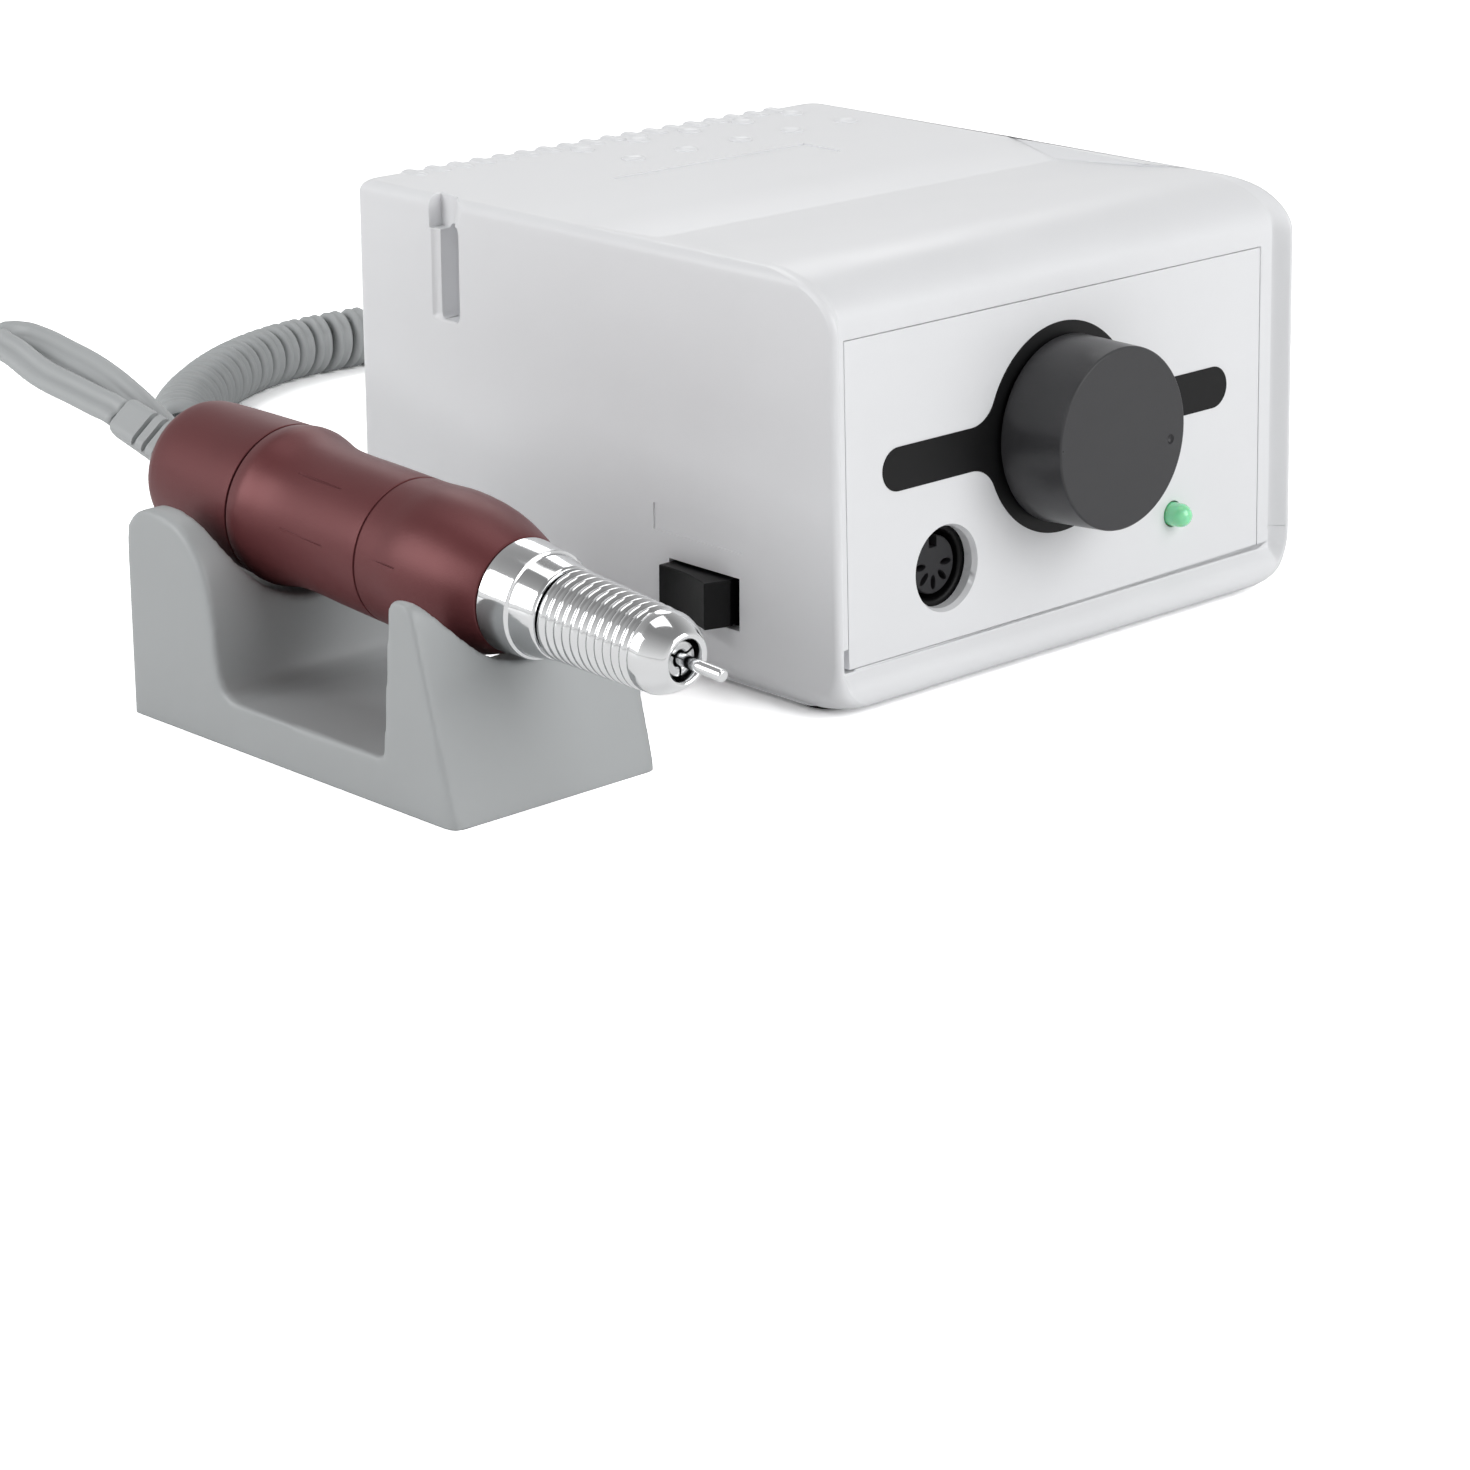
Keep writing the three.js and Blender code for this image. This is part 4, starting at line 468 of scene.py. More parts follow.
cord_grey = plastic("pvc_cord", "#AAADAE", 0.5, 0.5, 0.15)
plug_axes = axes(plug_tail, (0, -1, 0), (0, 0, 1), (-1, 0, 0))
grip = turned("plug_grip", [
    (0, 0), (3.4, 0), (3.9, 0.6), (4, 2), (4, 7.5), (4.6, 9.4), (6, 11.6), (7, 13.4), (7.4, 15.5), (7.4, 34.2),
    (7.1, 35), (6.95, 35), (6.95, 31), (0, 31),
])
for k in range(7):
    cut = turned("rib_cut", [(7.05, 18 + 2 * k), (9, 17.5 + 2 * k), (9, 18.9 + 2 * k), (7.05, 18.6 + 2 * k)], 48)
    carve(grip, cut)
soften(grip, 0.15, 2)
settle(grip, plug_axes)
pressed_steel = metal("plated_steel", "#C9CACB", 0.22, 0.4, 0.1)
shield = turned("plug_shield", [(6.2, 31.3), (6.65, 31.3), (6.65, 43.8), (6.5, 44), (6.3, 44), (6.2, 43.8)])
carve(shield, block("key_cut", (-0.9, 5, 41.5), (0.9, 8, 45)))
soften(shield, 0.06, 1)
settle(shield, plug_axes)
insert = rod("plug_insert", 5.9, 31.3, 35.3)
for k in range(5):
    angle = math.pi + k * math.pi / 4
    prong = rod("pin", 0.72, 34, 41.7, (3.5 * math.cos(angle), 3.5 * math.sin(angle)), 20)
    prong.select_set(True)
    soften(prong, 0.3, 3)
    carve(insert, prong, "UNION")
soften(insert, 0.1, 1)
settle(insert, plug_axes)
dress(grip, cord_grey, "body", ["din_plug_grip"])
dress(shield, pressed_steel, "body", ["din_plug_shield"])
dress(insert, pressed_steel, "body", ["din_plug_insert"])
dress(cord, cord_grey, "body", ["handpiece_lead", "curly_cord", "plug_lead"])

# Strain relief
# A flat tapered boot of the same PVC, moulded onto the lead and held in the rear cap, with
# slots on both broad faces so that it bends. It sits turned by 45 degrees.

handpiece_axes = axes(relief_base, (1, 0, 0), tool_axis.cross(Vector((1, 0, 0))), tool_axis)
boot = block("cord_boot", (-3.7, -4.7, -26), (3.7, 4.7, 5))
bpy.ops.object.mode_set(mode="EDIT")
net = bmesh.from_edit_mesh(boot.data)
for vertex in net.verts:
    vertex.select_set(vertex.co.z < 0)
net.select_flush_mode()
bpy.ops.transform.resize(value=(5.2 / 7.4, 8.4 / 9.4, 1), center_override=(0, 0, -26 * mm))
bpy.ops.object.mode_set(mode="OBJECT")
modify(boot, "BEVEL", width=1.9 * mm, segments=4, limit_method="ANGLE", angle_limit=math.radians(40))
for k in range(4):
    top = -4.6 - 3.6 * k
    for side in (-1, 1):
        wide = 3.55 - 0.12 * k
        low, high = sorted((side * (wide - 1.5), side * (wide + 3)))
        slot = block("slot", (low, -7, top - 1.3), (high, 7, top))
        carve(boot, slot)
soften(boot, 0.2, 2, 40)
rise = Matrix.Rotation(math.radians(9), 4, "X")
roll = Matrix.Rotation(math.radians(-45), 4, "Z")
settle(boot, handpiece_axes @ rise @ roll)
dress(boot, cord_grey, "body", ["strain_relief"])

# Handpiece: the three sleeves
# Turned aluminium, blasted and coated in a satin red-brown, split by two dark grooves where
# they screw together. Short scribed lines run along the middle and front sleeves.

coated = plastic("satin_coating", "#663537", 0.4, 0.35, 0.35, 0.05, 0.0, shine=0.3)
coated.node_tree.nodes["Principled BSDF"].inputs["Metallic"].default_value = 0.3
bore = 12.8
rear_sleeve = turned("rear_sleeve", [
    (0, 0), (10.9, 0), (11.5, 0.12), (12.3, 0.5), (13.1, 1.3), (13.7, 2.3), (14.05, 3.6), (14.3, 6), (14.55, 9.5),
    (14.85, 15), (15.1, 20), (15.35, 25.5), (15.5, 29.2), (15.4, 29.35), (14.6, 29.35), (14.6, 29.8), (bore, 29.8),
    (bore, 2.5), (0, 2.5),
], 128)
mouth = block("boot_mouth", (-4, -5, -1), (4, 5, 4))
modify(mouth, "BEVEL", width=2 * mm, segments=4, limit_method="ANGLE", angle_limit=math.radians(40))
settle(mouth, roll)
carve(rear_sleeve, mouth)
middle_sleeve = turned("middle_sleeve", [
    (bore, 29.9), (15.35, 29.9), (15.5, 30), (15.72, 31.2), (15.88, 32.5), (15.86, 33.6), (15.6, 35), (15.15, 36.8),
    (14.75, 38.6), (14.45, 40.5), (14.22, 43), (14.12, 46), (14.15, 50), (14.28, 55.2), (14.38, 64), (14.4, 67.3),
    (14.3, 67.45), (14.05, 67.45), (14.05, 67.85), (bore, 67.85),
], 128)
front_sleeve = turned("front_sleeve", [
    (bore, 67.95), (14.25, 67.95), (14.38, 68.1), (14.5, 71.6), (14.75, 74.6), (14.95, 77), (15, 79), (14.93, 81.5),
    (14.68, 84.8), (14.2, 88), (13.5, 91), (12.65, 93.8), (11.75, 96.4), (11.05, 98.2), (10.85, 98.5), (4.6, 98.5),
    (4.6, 93.4), (8.4, 93.4), (8.4, 83.5), (bore, 80.5),
], 128)


def scribe(sleeve, radius, start, end, angle):
    """A short scribed line along a sleeve, at an angle round it from straight up."""
    line = block("line", (-0.18, radius - 0.12, start), (0.18, radius + 1, end))
    settle(line, Matrix.Rotation(math.radians(angle), 4, "Z"))
    carve(sleeve, line)


scribe(middle_sleeve, 14.2, 44, 57, 38)
scribe(middle_sleeve, 14.2, 45, 58, 84)
scribe(front_sleeve, 14.75, 71, 80, 78)
for sleeve, node in ((rear_sleeve, "rear_cap"), (middle_sleeve, "motor_sleeve"), (front_sleeve, "front_sleeve")):
    soften(sleeve, 0.08, 1, 40)
    settle(sleeve, handpiece_axes)
    dress(sleeve, coated, "body", [node])

# Handpiece: nose and chuck
# Stainless steel, turned and polished. The nose is fixed; the ribbed sleeve in front of it is
# twisted to open and close the collet, whose three jaws show round the bur's shank.

polished = metal("polished_stainless", "#DCDDDE", 0.1, 0.5, 0.06)
nose = turned("nose", [
    (4.7, 98.8), (10.7, 98.8), (10.92, 99), (10.8, 101), (10.4, 105.8), (10.25, 106), (9.75, 106.1), (9.7, 106.4),
    (9.35, 108.6), (8.95, 111.2), (8.8, 111.8), (8.6, 112), (5.9, 112), (5.9, 131), (4.7, 131),
], 128)
rib_pitch = 2.09
ribs = []
for k in range(11):
    crest = 8.65 - 0.075 * k
    z = 112.3 + rib_pitch * k
    ribs += [(crest - 0.6, z), (crest - 0.52, z + 0.2), (crest - 0.26, z + 0.42), (crest - 0.07, z + 0.72),
             (crest, z + 1.08), (crest - 0.07, z + 1.45), (crest - 0.26, z + 1.75)]
chuck = turned("chuck", [
    *ribs, (7.35, 135.3), (7.4, 135.5), (7.65, 135.75), (7.72, 136.2), (7.7, 137.6), (7.55, 138.3), (7.2, 139.3),
    (6.7, 140.4), (6.05, 141.5), (5.45, 142.4), (5.1, 142.8), (4.75, 143), (4.35, 143), (3.98, 142.75), (3.9, 142.3),
    (3.9, 131.3), (6.2, 131.3), (6.2, 112.3),
], 128)
collet = turned("collet_head", [
    (1.48, 110.3), (2.3, 110.3), (2.3, 125.4), (3.4, 125.4), (3.4, 140.9), (3.15, 141.5), (1.9, 141.5), (1.48, 141.1),
])
for k in range(3):
    slit = block("slit", (-0.25, 0, 129.5), (0.25, 5, 142))
    settle(slit, Matrix.Rotation(math.radians(60 + 120 * k), 4, "Z"))
    carve(collet, slit)
shank = turned("bur_shank", [
    (0, 116), (1.175, 116), (1.175, 152), (1.1, 152.3), (0.85, 152.5), (0, 152.5),
], 48)
soften(nose, 0.06, 1)
soften(chuck, 0.05, 1, 50)
soften(collet, 0.08, 1)
soften(shank, 0.05, 1)
for piece, material, body, node, slot in (
    (nose, polished, "body", "nose_ring", "polished"), (chuck, polished, "chuck", "chuck_sleeve", "polished"),
    (collet, pressed_steel, "drive", "collet", "steel"), (shank, polished, "drive", "test_shank", "polished"),
):
    settle(piece, handpiece_axes)
    dress(piece, material, body, [node])

# Handpiece: the motor
# A brushed direct-current motor in a steel can: ferrite magnet, laminated rotor, copper
# commutator with two carbon brushes, and a ball bearing at each end of the spindle.

ground_steel = metal("ground_steel", "#A9ABAD", 0.3, 0.8, 0.2)
laminations = metal("varnished_laminations", "#5C5E61", 0.45, 0.5, 0.4, (1, 1, 8))
ferrite = plastic("ferrite", "#2F3032", 0.6, 0.4, 0.5)
carbon = plastic("carbon_block", "#26262A", 0.7, 0.3, 0.5)
copper = metal("bare_copper", "#B0683C", 0.3, 0.5, 0.2)
for name in ("motor_can", "rear_bearing", "front_bearing", "spindle"):
    frame["nodes"][name].data.materials.clear()
    frame["nodes"][name].data.materials.append(ground_steel)
for name, material in (("magnet_ring", ferrite), ("rotor", laminations), ("commutator", copper),
                       ("brush_1", carbon), ("brush_2", carbon)):
    frame["nodes"][name].data.materials.clear()
    frame["nodes"][name].data.materials.append(material)

# Cradle
# One injection-moulded shell of satin grey ABS: a tall rear saddle, a low middle with a scoop
# under the motor, and a leaning front with one ear; soft edges all round, hollow below.

cradle_low, cradle_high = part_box("cradle")
cradle_width = 49.4
cradle_flare = 1.7
cradle_length = 97.2
cradle_wall = 2.6
cradle_floor = 9.1
front_lean = math.radians(15.8)
cradle_axes = Matrix.Translation(((cradle_low.x + cradle_high.x) / 2, cradle_low.y, 0))


def arc(centre, radius, start, end, steps, squash=1.0):
    """Points on an arc, its angles in degrees, with its height squashed by a share."""
    points = []
    for k in range(steps + 1):
        angle = math.radians(start + (end - start) * k / steps)
        points.append((centre[0] + radius * math.cos(angle), centre[1] + radius * squash * math.sin(angle)))
    return points


def prism(name, outline, start, end, matrix):
    """An outline in mm, drawn out from start to end, in the axes that the matrix gives."""
    bpy.ops.object.select_all(action="DESELECT")
    bpy.ops.mesh.primitive_circle_add(vertices=len(outline), fill_type="NGON")
    piece = bpy.context.object
    piece.name = name
    for vertex, (x, y) in zip(piece.data.vertices, outline):
        vertex.co = (x * mm, y * mm, start * mm)
    bpy.ops.object.mode_set(mode="EDIT")
    bpy.ops.mesh.select_all(action="SELECT")
    bpy.ops.mesh.extrude_region_move(TRANSFORM_OT_translate={"value": (0, 0, (end - start) * mm)})
    bpy.ops.mesh.select_all(action="SELECT")
    bpy.ops.mesh.normals_make_consistent(inside=False)
    bpy.ops.object.mode_set(mode="OBJECT")
    return settle(piece, matrix)


side_axes = axes((0, 0, 0), (0, 1, 0), (0, 0, 1), (1, 0, 0))
face_axes = axes((0, 0, 0), (1, 0, 0), (0, 0, 1), (0, -1, 0))


def spline(points, steps):
    """A smooth line through the points, for an outline."""
    made = []
    for k in range(len(points) - 1):
        p0, p1, p2, p3 = (Vector(points[max(0, min(len(points) - 1, k + j))]) for j in (-1, 0, 1, 2))
        for s in range(steps):
            t = s / steps
            made.append(tuple(0.5 * (2 * p1 + (p2 - p0) * t + (2 * p0 - 5 * p1 + 4 * p2 - p3) * t * t
                                     + (3 * p1 - p0 - 3 * p2 + p3) * t ** 3)))
    made.append(tuple(points[-1]))
    return made


def cradle_side(inset):
    """The cradle's side view, with every wall moved in by the inset."""
    lean = math.tan(front_lean)
    foot = inset / math.cos(front_lean)
    rear = cradle_length - inset
    ear_top = 40.2 - inset
    arch = spline([(62.5, 9.2), (66, 10), (68, 12), (69.2, 17), (70.2, 25.5), (73, 34), (79, 40.4), (85.5, 42.4)], 6)
    crown = spline([(85.5, 42.4), (90.2, 42.2), (94.6, 39.6), (96.8, 34), (97.2, 24)], 5)
    top = [(y + inset, z - inset) for y, z in arch] + [(min(y, rear), z - inset) for y, z in crown[1:]]
    ear_front = ear_top * lean + foot
    ear_rear = max(ear_front + 6.2 - 2 * inset, ear_front + 0.6)
    ear = spline([(ear_front - 2.4 * lean, ear_top - 2.4), (ear_front + 0.5, ear_top - 0.7),
                  ((ear_front + ear_rear) / 2, ear_top), (ear_rear - 0.7, ear_top - 0.8), (ear_rear, ear_top - 3)], 4)
    outline = [(foot - 4 * lean, -4), (foot, 0), *ear, (19.9 + inset, cradle_floor + 0.6 - inset), (20.9 + inset, cradle_floor - inset)]
    outline += [*top, (rear, -4)]
    return outline


def trough(inset):
    """What the handpiece lies in: a front groove that falls away to the rear, and a plain round one."""
    radius = 18.1 + inset
    flank = radius * math.sqrt(0.5)
    reach = 60
    outline = [*arc((0, radius), radius, 225, 315, 24), (flank + reach, radius - flank + reach),
               (-flank - reach, radius - flank + reach)]
    mouth = 25.7 * math.tan(front_lean)
    front = prism("front_trough", outline, mouth - 45, mouth + 5, face_axes)
    settle(front, Matrix.Translation((0, mouth * mm, (25.7 - inset) * mm)) @ Matrix.Rotation(-math.atan(0.185), 4, "X"))
    rear = prism("rear_trough", arc((0, 45.5), 21 + inset, 0, 354, 59), -99, -45, face_axes)
    carve(front, rear, "UNION")
    return front


def cradle_plan(name, inset, low, high):
    """The cradle seen from above, a little wider at the rear."""
    half = cradle_width / 2 - inset
    rear_half = half + cradle_flare
    outline = [(-half + 2, inset), (half - 2, inset), (half - 0.5, inset + 0.6), (half, inset + 2),
               (rear_half, cradle_length - inset - 2), (rear_half - 0.6, cradle_length - inset - 0.6),
               (rear_half - 2, cradle_length - inset), (2 - rear_half, cradle_length - inset),
               (0.6 - rear_half, cradle_length - inset - 0.6), (-rear_half, cradle_length - inset - 2),
               (-half, inset + 2), (-half + 0.5, inset + 0.6)]
    return prism(name, outline, low, high, Matrix.Identity(4))


cradle_shell = prism("cradle_shell", cradle_side(0), -60, 60, side_axes)
carve(cradle_shell, cradle_plan("plan", 0, -3.9, 60), "INTERSECT")
carve(cradle_shell, trough(0))
carve(cradle_shell, block("shoulder", (0, -5, 33), (60, 26.1, 60)))
hollow = prism("hollow", cradle_side(cradle_wall), -60, 60, side_axes)
carve(hollow, cradle_plan("inner_plan", cradle_wall, -5, 60), "INTERSECT")
carve(hollow, trough(cradle_wall))
carve(hollow, block("inner_shoulder", (0, -5, 33 - cradle_wall), (60, 26.1, 60)))
carve(cradle_shell, hollow)
modify(cradle_shell, "REMESH", mode="VOXEL", voxel_size=0.75 * mm, adaptivity=0)
modify(cradle_shell, "SMOOTH", factor=0.5, iterations=6)
carve(cradle_shell, block("below_rim", (-60, -20, -10), (60, 120, 0)))
alone(cradle_shell)
bpy.ops.object.shade_smooth()
settle(cradle_shell, cradle_axes)
cradle_abs = plastic("satin_grey_abs", "#A6A9AA", 0.42, 0.6, 0.2)
dress(cradle_shell, cradle_abs, "body", ["cradle"])

# Control box: the cover
# One moulding of light grey ABS: a leaning front with a big soft curve over it, a shallow dish
# across the top, a slot for a hook in the left wall, and rows of raised dots at the rear.

box_width = (box_high.x - box_low.x) / mm
box_depth = 143.6
box_height = box_high.z / mm
wall = 2.5
lean = math.tan(math.radians(1.9))
curve_drop = 9.4
curve_depth = 19.2
box_axes = Matrix.Translation((box_left, box_front, 0))


def cover_front(z):
    """How far back the cover's front is at a height: chin, leaning face, then the curve to the top."""
    if z < 4.6:
        return 1.0 - math.sqrt(max(0, 3.2 ** 2 - (4.6 - z) ** 2))
    if z < 9.2:
        t = (z - 4.6) / 4.6
        return -2.2 * (1 - t * t) + 9.2 * lean * t * t
    start = box_height - curve_drop
    if z < start:
        return z * lean
    share = min(1, (z - start) / curve_drop)
    return start * lean + curve_depth * (1 - math.sqrt(1 - share * share))


def rounding(radius, z, top):
    """How far a wall has come in where it rounds over below a top."""
    into = max(0, z - (top - radius))
    return radius - math.sqrt(max(0, radius ** 2 - into ** 2))


def crest_front(z):
    """How far back the crest of the two cheeks is, which stand 2.8 mm proud of the face."""
    if z < 4.6:
        return cover_front(z)
    if z < 12:
        return -2.2 - 0.2 * (z - 4.6) / 7.4
    if z < 77:
        return z * lean - 2.8
    share = min(1, (z - 77) / 10.2)
    return -0.25 + 21.2 * (1 - math.sqrt(1 - share * share))


def cover_plan(z):
    """The cover's outline at a height: at each front corner a round, then a slope down to the face."""
    side = max(rounding(2.5, z, box_height), rounding(5, box_height + 1.4 - z, box_height))
    rear = box_depth - rounding(3, z, box_height)
    crest, face = crest_front(z), cover_front(z)
    radius = 1.3 + 6.7 * max(0, 1 - (z - 1.4) / 11) ** 2
    left = arc((side + radius, crest + radius), radius, 180, 270, 8)
    start = side + radius
    reach = max(4.4, start + 0.8) - start
    for along_share, rise in ((0.08, 0.03), (0.25, 0.2), (0.5, 0.5), (0.75, 0.8), (0.92, 0.97), (1, 1)):
        left.append((start + reach * along_share, crest + (face - crest) * rise))
    right_side = [(box_width - x, y) for x, y in reversed(left)]
    corner = arc((box_width - side - 3, rear - 3), 3, 0, 90, 6)
    return [*left, *right_side, *corner, *((box_width - x, y) for x, y in reversed(corner))]


levels = [1.4, 1.9, 2.6, 3.6, 4.6, 5.6, 6.6, 7.8, 9.2, 10.6, 12, 30, 55, 77]
levels += [box_height - curve_drop * (1 - math.sin(math.radians(6 * k))) for k in range(16)]
ring = cover_plan(levels[0])
bpy.ops.object.select_all(action="DESELECT")
bpy.ops.mesh.primitive_circle_add(vertices=len(ring), fill_type="NGON")
cover = bpy.context.object
cover.name = "cover_shell"
for vertex, (x, y) in zip(cover.data.vertices, ring):
    vertex.co = (x * mm, y * mm, levels[0] * mm)
bpy.ops.object.mode_set(mode="EDIT")
bpy.ops.mesh.select_all(action="SELECT")
for before, z in zip(levels, levels[1:]):
    bpy.ops.mesh.extrude_region_move(TRANSFORM_OT_translate={"value": (0, 0, (z - before) * mm)})
    net = bmesh.from_edit_mesh(cover.data)
    new_ring = cover_plan(z)
    for vertex in (vertex for vertex in net.verts if vertex.select):
        k = min(range(len(ring)), key=lambda n: (ring[n][0] * mm - vertex.co.x) ** 2 + (ring[n][1] * mm - vertex.co.y) ** 2)
        vertex.co.x, vertex.co.y = new_ring[k][0] * mm, new_ring[k][1] * mm
    bmesh.update_edit_mesh(cover.data)
    ring = new_ring
bpy.ops.mesh.select_all(action="SELECT")
bpy.ops.mesh.normals_make_consistent(inside=False)
bpy.ops.object.mode_set(mode="OBJECT")

inside = block("inside", (wall, 9.2, -1), (box_width - wall, box_depth - wall, box_height - 3.6))
bpy.ops.object.mode_set(mode="EDIT")
net = bmesh.from_edit_mesh(inside.data)
for edge in net.edges:
    edge.select_set(all(v.co.y < 10 * mm and v.co.z > 10 * mm for v in edge.verts))
bpy.ops.mesh.bevel(offset=9 * mm, segments=1, affect="EDGES")
bpy.ops.object.mode_set(mode="OBJECT")
slot_front, slot_rear, slot_bottom, slot_depth = 109.2, 115.7, 61.5, 6
ledge_rear, ledge_height = 118.5, 80.25
carve(inside, block("pocket", (0, slot_front - 6, slot_bottom - 3), (slot_depth + 2, ledge_rear + 2, 90)))
carve(cover, inside)

panel_axes = axes(Vector((box_left, box_front, 0)), (1, 0, 0),
                  (0, math.sin(math.radians(1.9)), math.cos(math.radians(1.9))),
                  (0, -math.cos(math.radians(1.9)), math.sin(math.radians(1.9))))
in_box = box_axes.inverted() @ panel_axes


def plate(name, low, high, start, end, radius, segments=5):
    """A flat plate with rounded corners, in mm."""
    piece = block(name, (*low, start), (*high, end))
    bpy.ops.object.mode_set(mode="EDIT")
    net = bmesh.from_edit_mesh(piece.data)
    for edge in net.edges:
        edge.select_set(abs(edge.verts[0].co.z - edge.verts[1].co.z) > 1e-6)
    bpy.ops.mesh.bevel(offset=radius * mm, segments=segments, affect="EDGES")
    bpy.ops.object.mode_set(mode="OBJECT")
    return piece


panel_low = (5.8, 9.9)
panel_high = (128.6, 74.6)
recess = plate("recess", (panel_low[0] - 0.11, panel_low[1] - 0.11), (panel_high[0] + 0.11, panel_high[1] + 0.11),
               -3.5, 9, 1.8)
carve(cover, settle(recess, in_box))
window = plate("panel_window", (9.3, 12.9), (125.6, 71.6), -12, 2, 1.6)
carve(cover, settle(window, in_box))

dish = prism("dish", [(27, box_height), (27, 95), (80, 95), (78, 88.2), (77.5, box_height), (62.5, box_height - 2.4),
                      (60.5, box_height - 2.45), (50, box_height - 1.75), (38, box_height - 0.75)],
             wall, box_width - wall, side_axes)
bpy.ops.object.mode_set(mode="EDIT")
net = bmesh.from_edit_mesh(dish.data)
for side, inward in ((0, 3), (box_width, -3)):
    for vertex in net.verts:
        vertex.select_set(vertex.co.z < (box_height - 0.1) * mm and abs(vertex.co.x / mm - side) < 20)
    net.select_flush_mode()
    bpy.ops.transform.translate(value=(inward * mm, 0, 0))
bpy.ops.object.mode_set(mode="OBJECT")
carve(cover, dish)

slot = block("hook_slot", (-1, slot_front, slot_bottom), (slot_depth, slot_rear, ledge_height + 0.9))
modify(slot, "BEVEL", width=1.4 * mm, segments=4, limit_method="ANGLE", angle_limit=math.radians(60))
ledge = block("slot_ledge", (-3, slot_front - 0.05, slot_bottom - 0.8), (0.7, ledge_rear - 0.1, ledge_height + 3))
modify(ledge, "BEVEL", width=2 * mm, segments=4, limit_method="ANGLE", angle_limit=math.radians(60))
throat = prism("slot_throat", [(-1, 118.5), (3.4, 118.5), (3.4, 116), (3, 113.6), (2.2, 111), (1.3, 108.6), (0.6, 106.4),
                               (0, 104.6), (-1, 104.6)], ledge_height, 92, Matrix.Identity(4))
bpy.ops.object.mode_set(mode="EDIT")
net = bmesh.from_edit_mesh(throat.data)
for vertex in net.verts:
    vertex.select_set(vertex.co.z < 85 * mm and vertex.co.y < 112 * mm)
net.select_flush_mode()
bpy.ops.transform.translate(value=(-1.6 * mm, 0, 0))
bpy.ops.object.mode_set(mode="OBJECT")
for cutter in (slot, ledge, throat):
    carve(cover, cutter)

corner_gap = plate("corner_gap", (3.6, 9.4), (7.4, 14), -2.4, 5, 1.8)
carve(cover, settle(corner_gap, in_box))
soften(cover, 0.3, 2, 40, clamp=False)

side_axes_switch = axes(Vector((0, 35.25, 18.8)) * mm, (0, -1, 0), (0, 0, 1), (-1, 0, 0))
switch_hole = plate("switch_hole", (-10.15, -5.4), (10.15, 5.4), -6, 2, 0.5, 3)
carve(cover, settle(switch_hole, side_axes_switch))
side_label = plate("side_label", (-12.9, -2.7), (12.9, 2.7), -0.3, 2, 0.8)
carve(cover, settle(side_label, axes(Vector((0, 37.1, 32.1)) * mm, (0, -1, 0), (0, 0, 1), (-1, 0, 0))))
top_label = plate("top_label", (38.7, 93.3), (96, 105.3), box_height - 0.35, box_height + 2, 1.5)
carve(cover, top_label)

rear_axes = axes(Vector((0, box_depth, 0)) * mm, (-1, 0, 0), (0, 0, 1), (0, 1, 0))
inlet_hole = block("inlet_hole", (-119.8, 15.8, -6), (-92.2, 36.2, 2))
carve(cover, settle(inlet_hole, rear_axes))
fuse_hole = rod("fuse_hole", 6.7, -6, 2, (-50, 26))
carve(cover, settle(fuse_hole, rear_axes))
seam = block("cheek_seam", (-1.9, -0.3, -0.1), (1.9, 0.6, 0.1))
carve(cover, settle(seam, Matrix.Translation(Vector((box_width - 3.3, -1.05, 14)) * mm)
                    @ Matrix.Rotation(math.radians(-44), 4, "Z")))
shade(cover, 30)

dot_radius = 2.6
dot_rows = ((118, (57, 72.5, 89, 105, 122)), (133.5, (56, 72.5, 88, 104.5, 120)))
housing = plastic("light_abs", "#E6E7E9", 0.34, 2.4, 0.05, 0.012, 0.0)
for r, (y, columns) in enumerate(dot_rows):
    for c, x in enumerate(columns):
        bpy.ops.object.select_all(action="DESELECT")
        bpy.ops.mesh.primitive_uv_sphere_add(segments=24, ring_count=12, radius=dot_radius * mm)
        dot = bpy.context.object
        dot.name = f"cover_dot_{r + 1}_{c + 1}"
        dot.scale = (1, 1, 0.34)
        dot.location = (x * mm, y * mm, box_height * mm)
        bpy.ops.object.transform_apply(location=True, rotation=True, scale=True)
        bpy.ops.object.shade_smooth()
        settle(dot, box_axes)
        dress(dot, housing, "body", ())
for k in range(18):
    rib = rod(f"cover_rib_{k + 1}", 1.9, -3.2, 3.2, (0, 0), 20)
    rib.scale = (1, 0.42, 1)
    soften(rib, 1.0, 3, 50)
    settle(rib, box_axes @ Matrix.Translation(Vector((13 + 6.3 * k, 138.8, box_height - 0.25)) * mm)
           @ Matrix.Rotation(math.pi / 2, 4, "X"))
    dress(rib, housing, "body", ())
settle(cover, box_axes)
dress(cover, housing, "body", ["top_cover"])

# Control box: front panel
# A separate flat plate of the same ABS, let into the front with a fine shadow gap, with holes
# for the speed control, the socket and the lamp.

panel = plate("panel_plate", panel_low, panel_high, -3.2, -0.08, 1.6)
soften(panel, 0.18, 2)
for x, y, radius in ((66.8, 47.3, 3.8), (33.3, 24.8, 8.3), (101.2, 22.6, 2.8)):
    carve(panel, rod("hole", radius, -5, 2, (x, y), 72))
carve(panel, turned("socket_chamfer", [(0, -1.2), (8.3, -1.2), (8.95, 0.1), (8.95, 1), (0, 1)], 72), place=(33.3, 24.8))
shade(panel, 12)
settle(panel, panel_axes)
dress(panel, housing, "body", ["front_panel"])

# Control box: legend plate
# A thin black anodised plate stuck on the panel: a disc behind the knob on a bar with round
# ends. What is printed on it is left off.

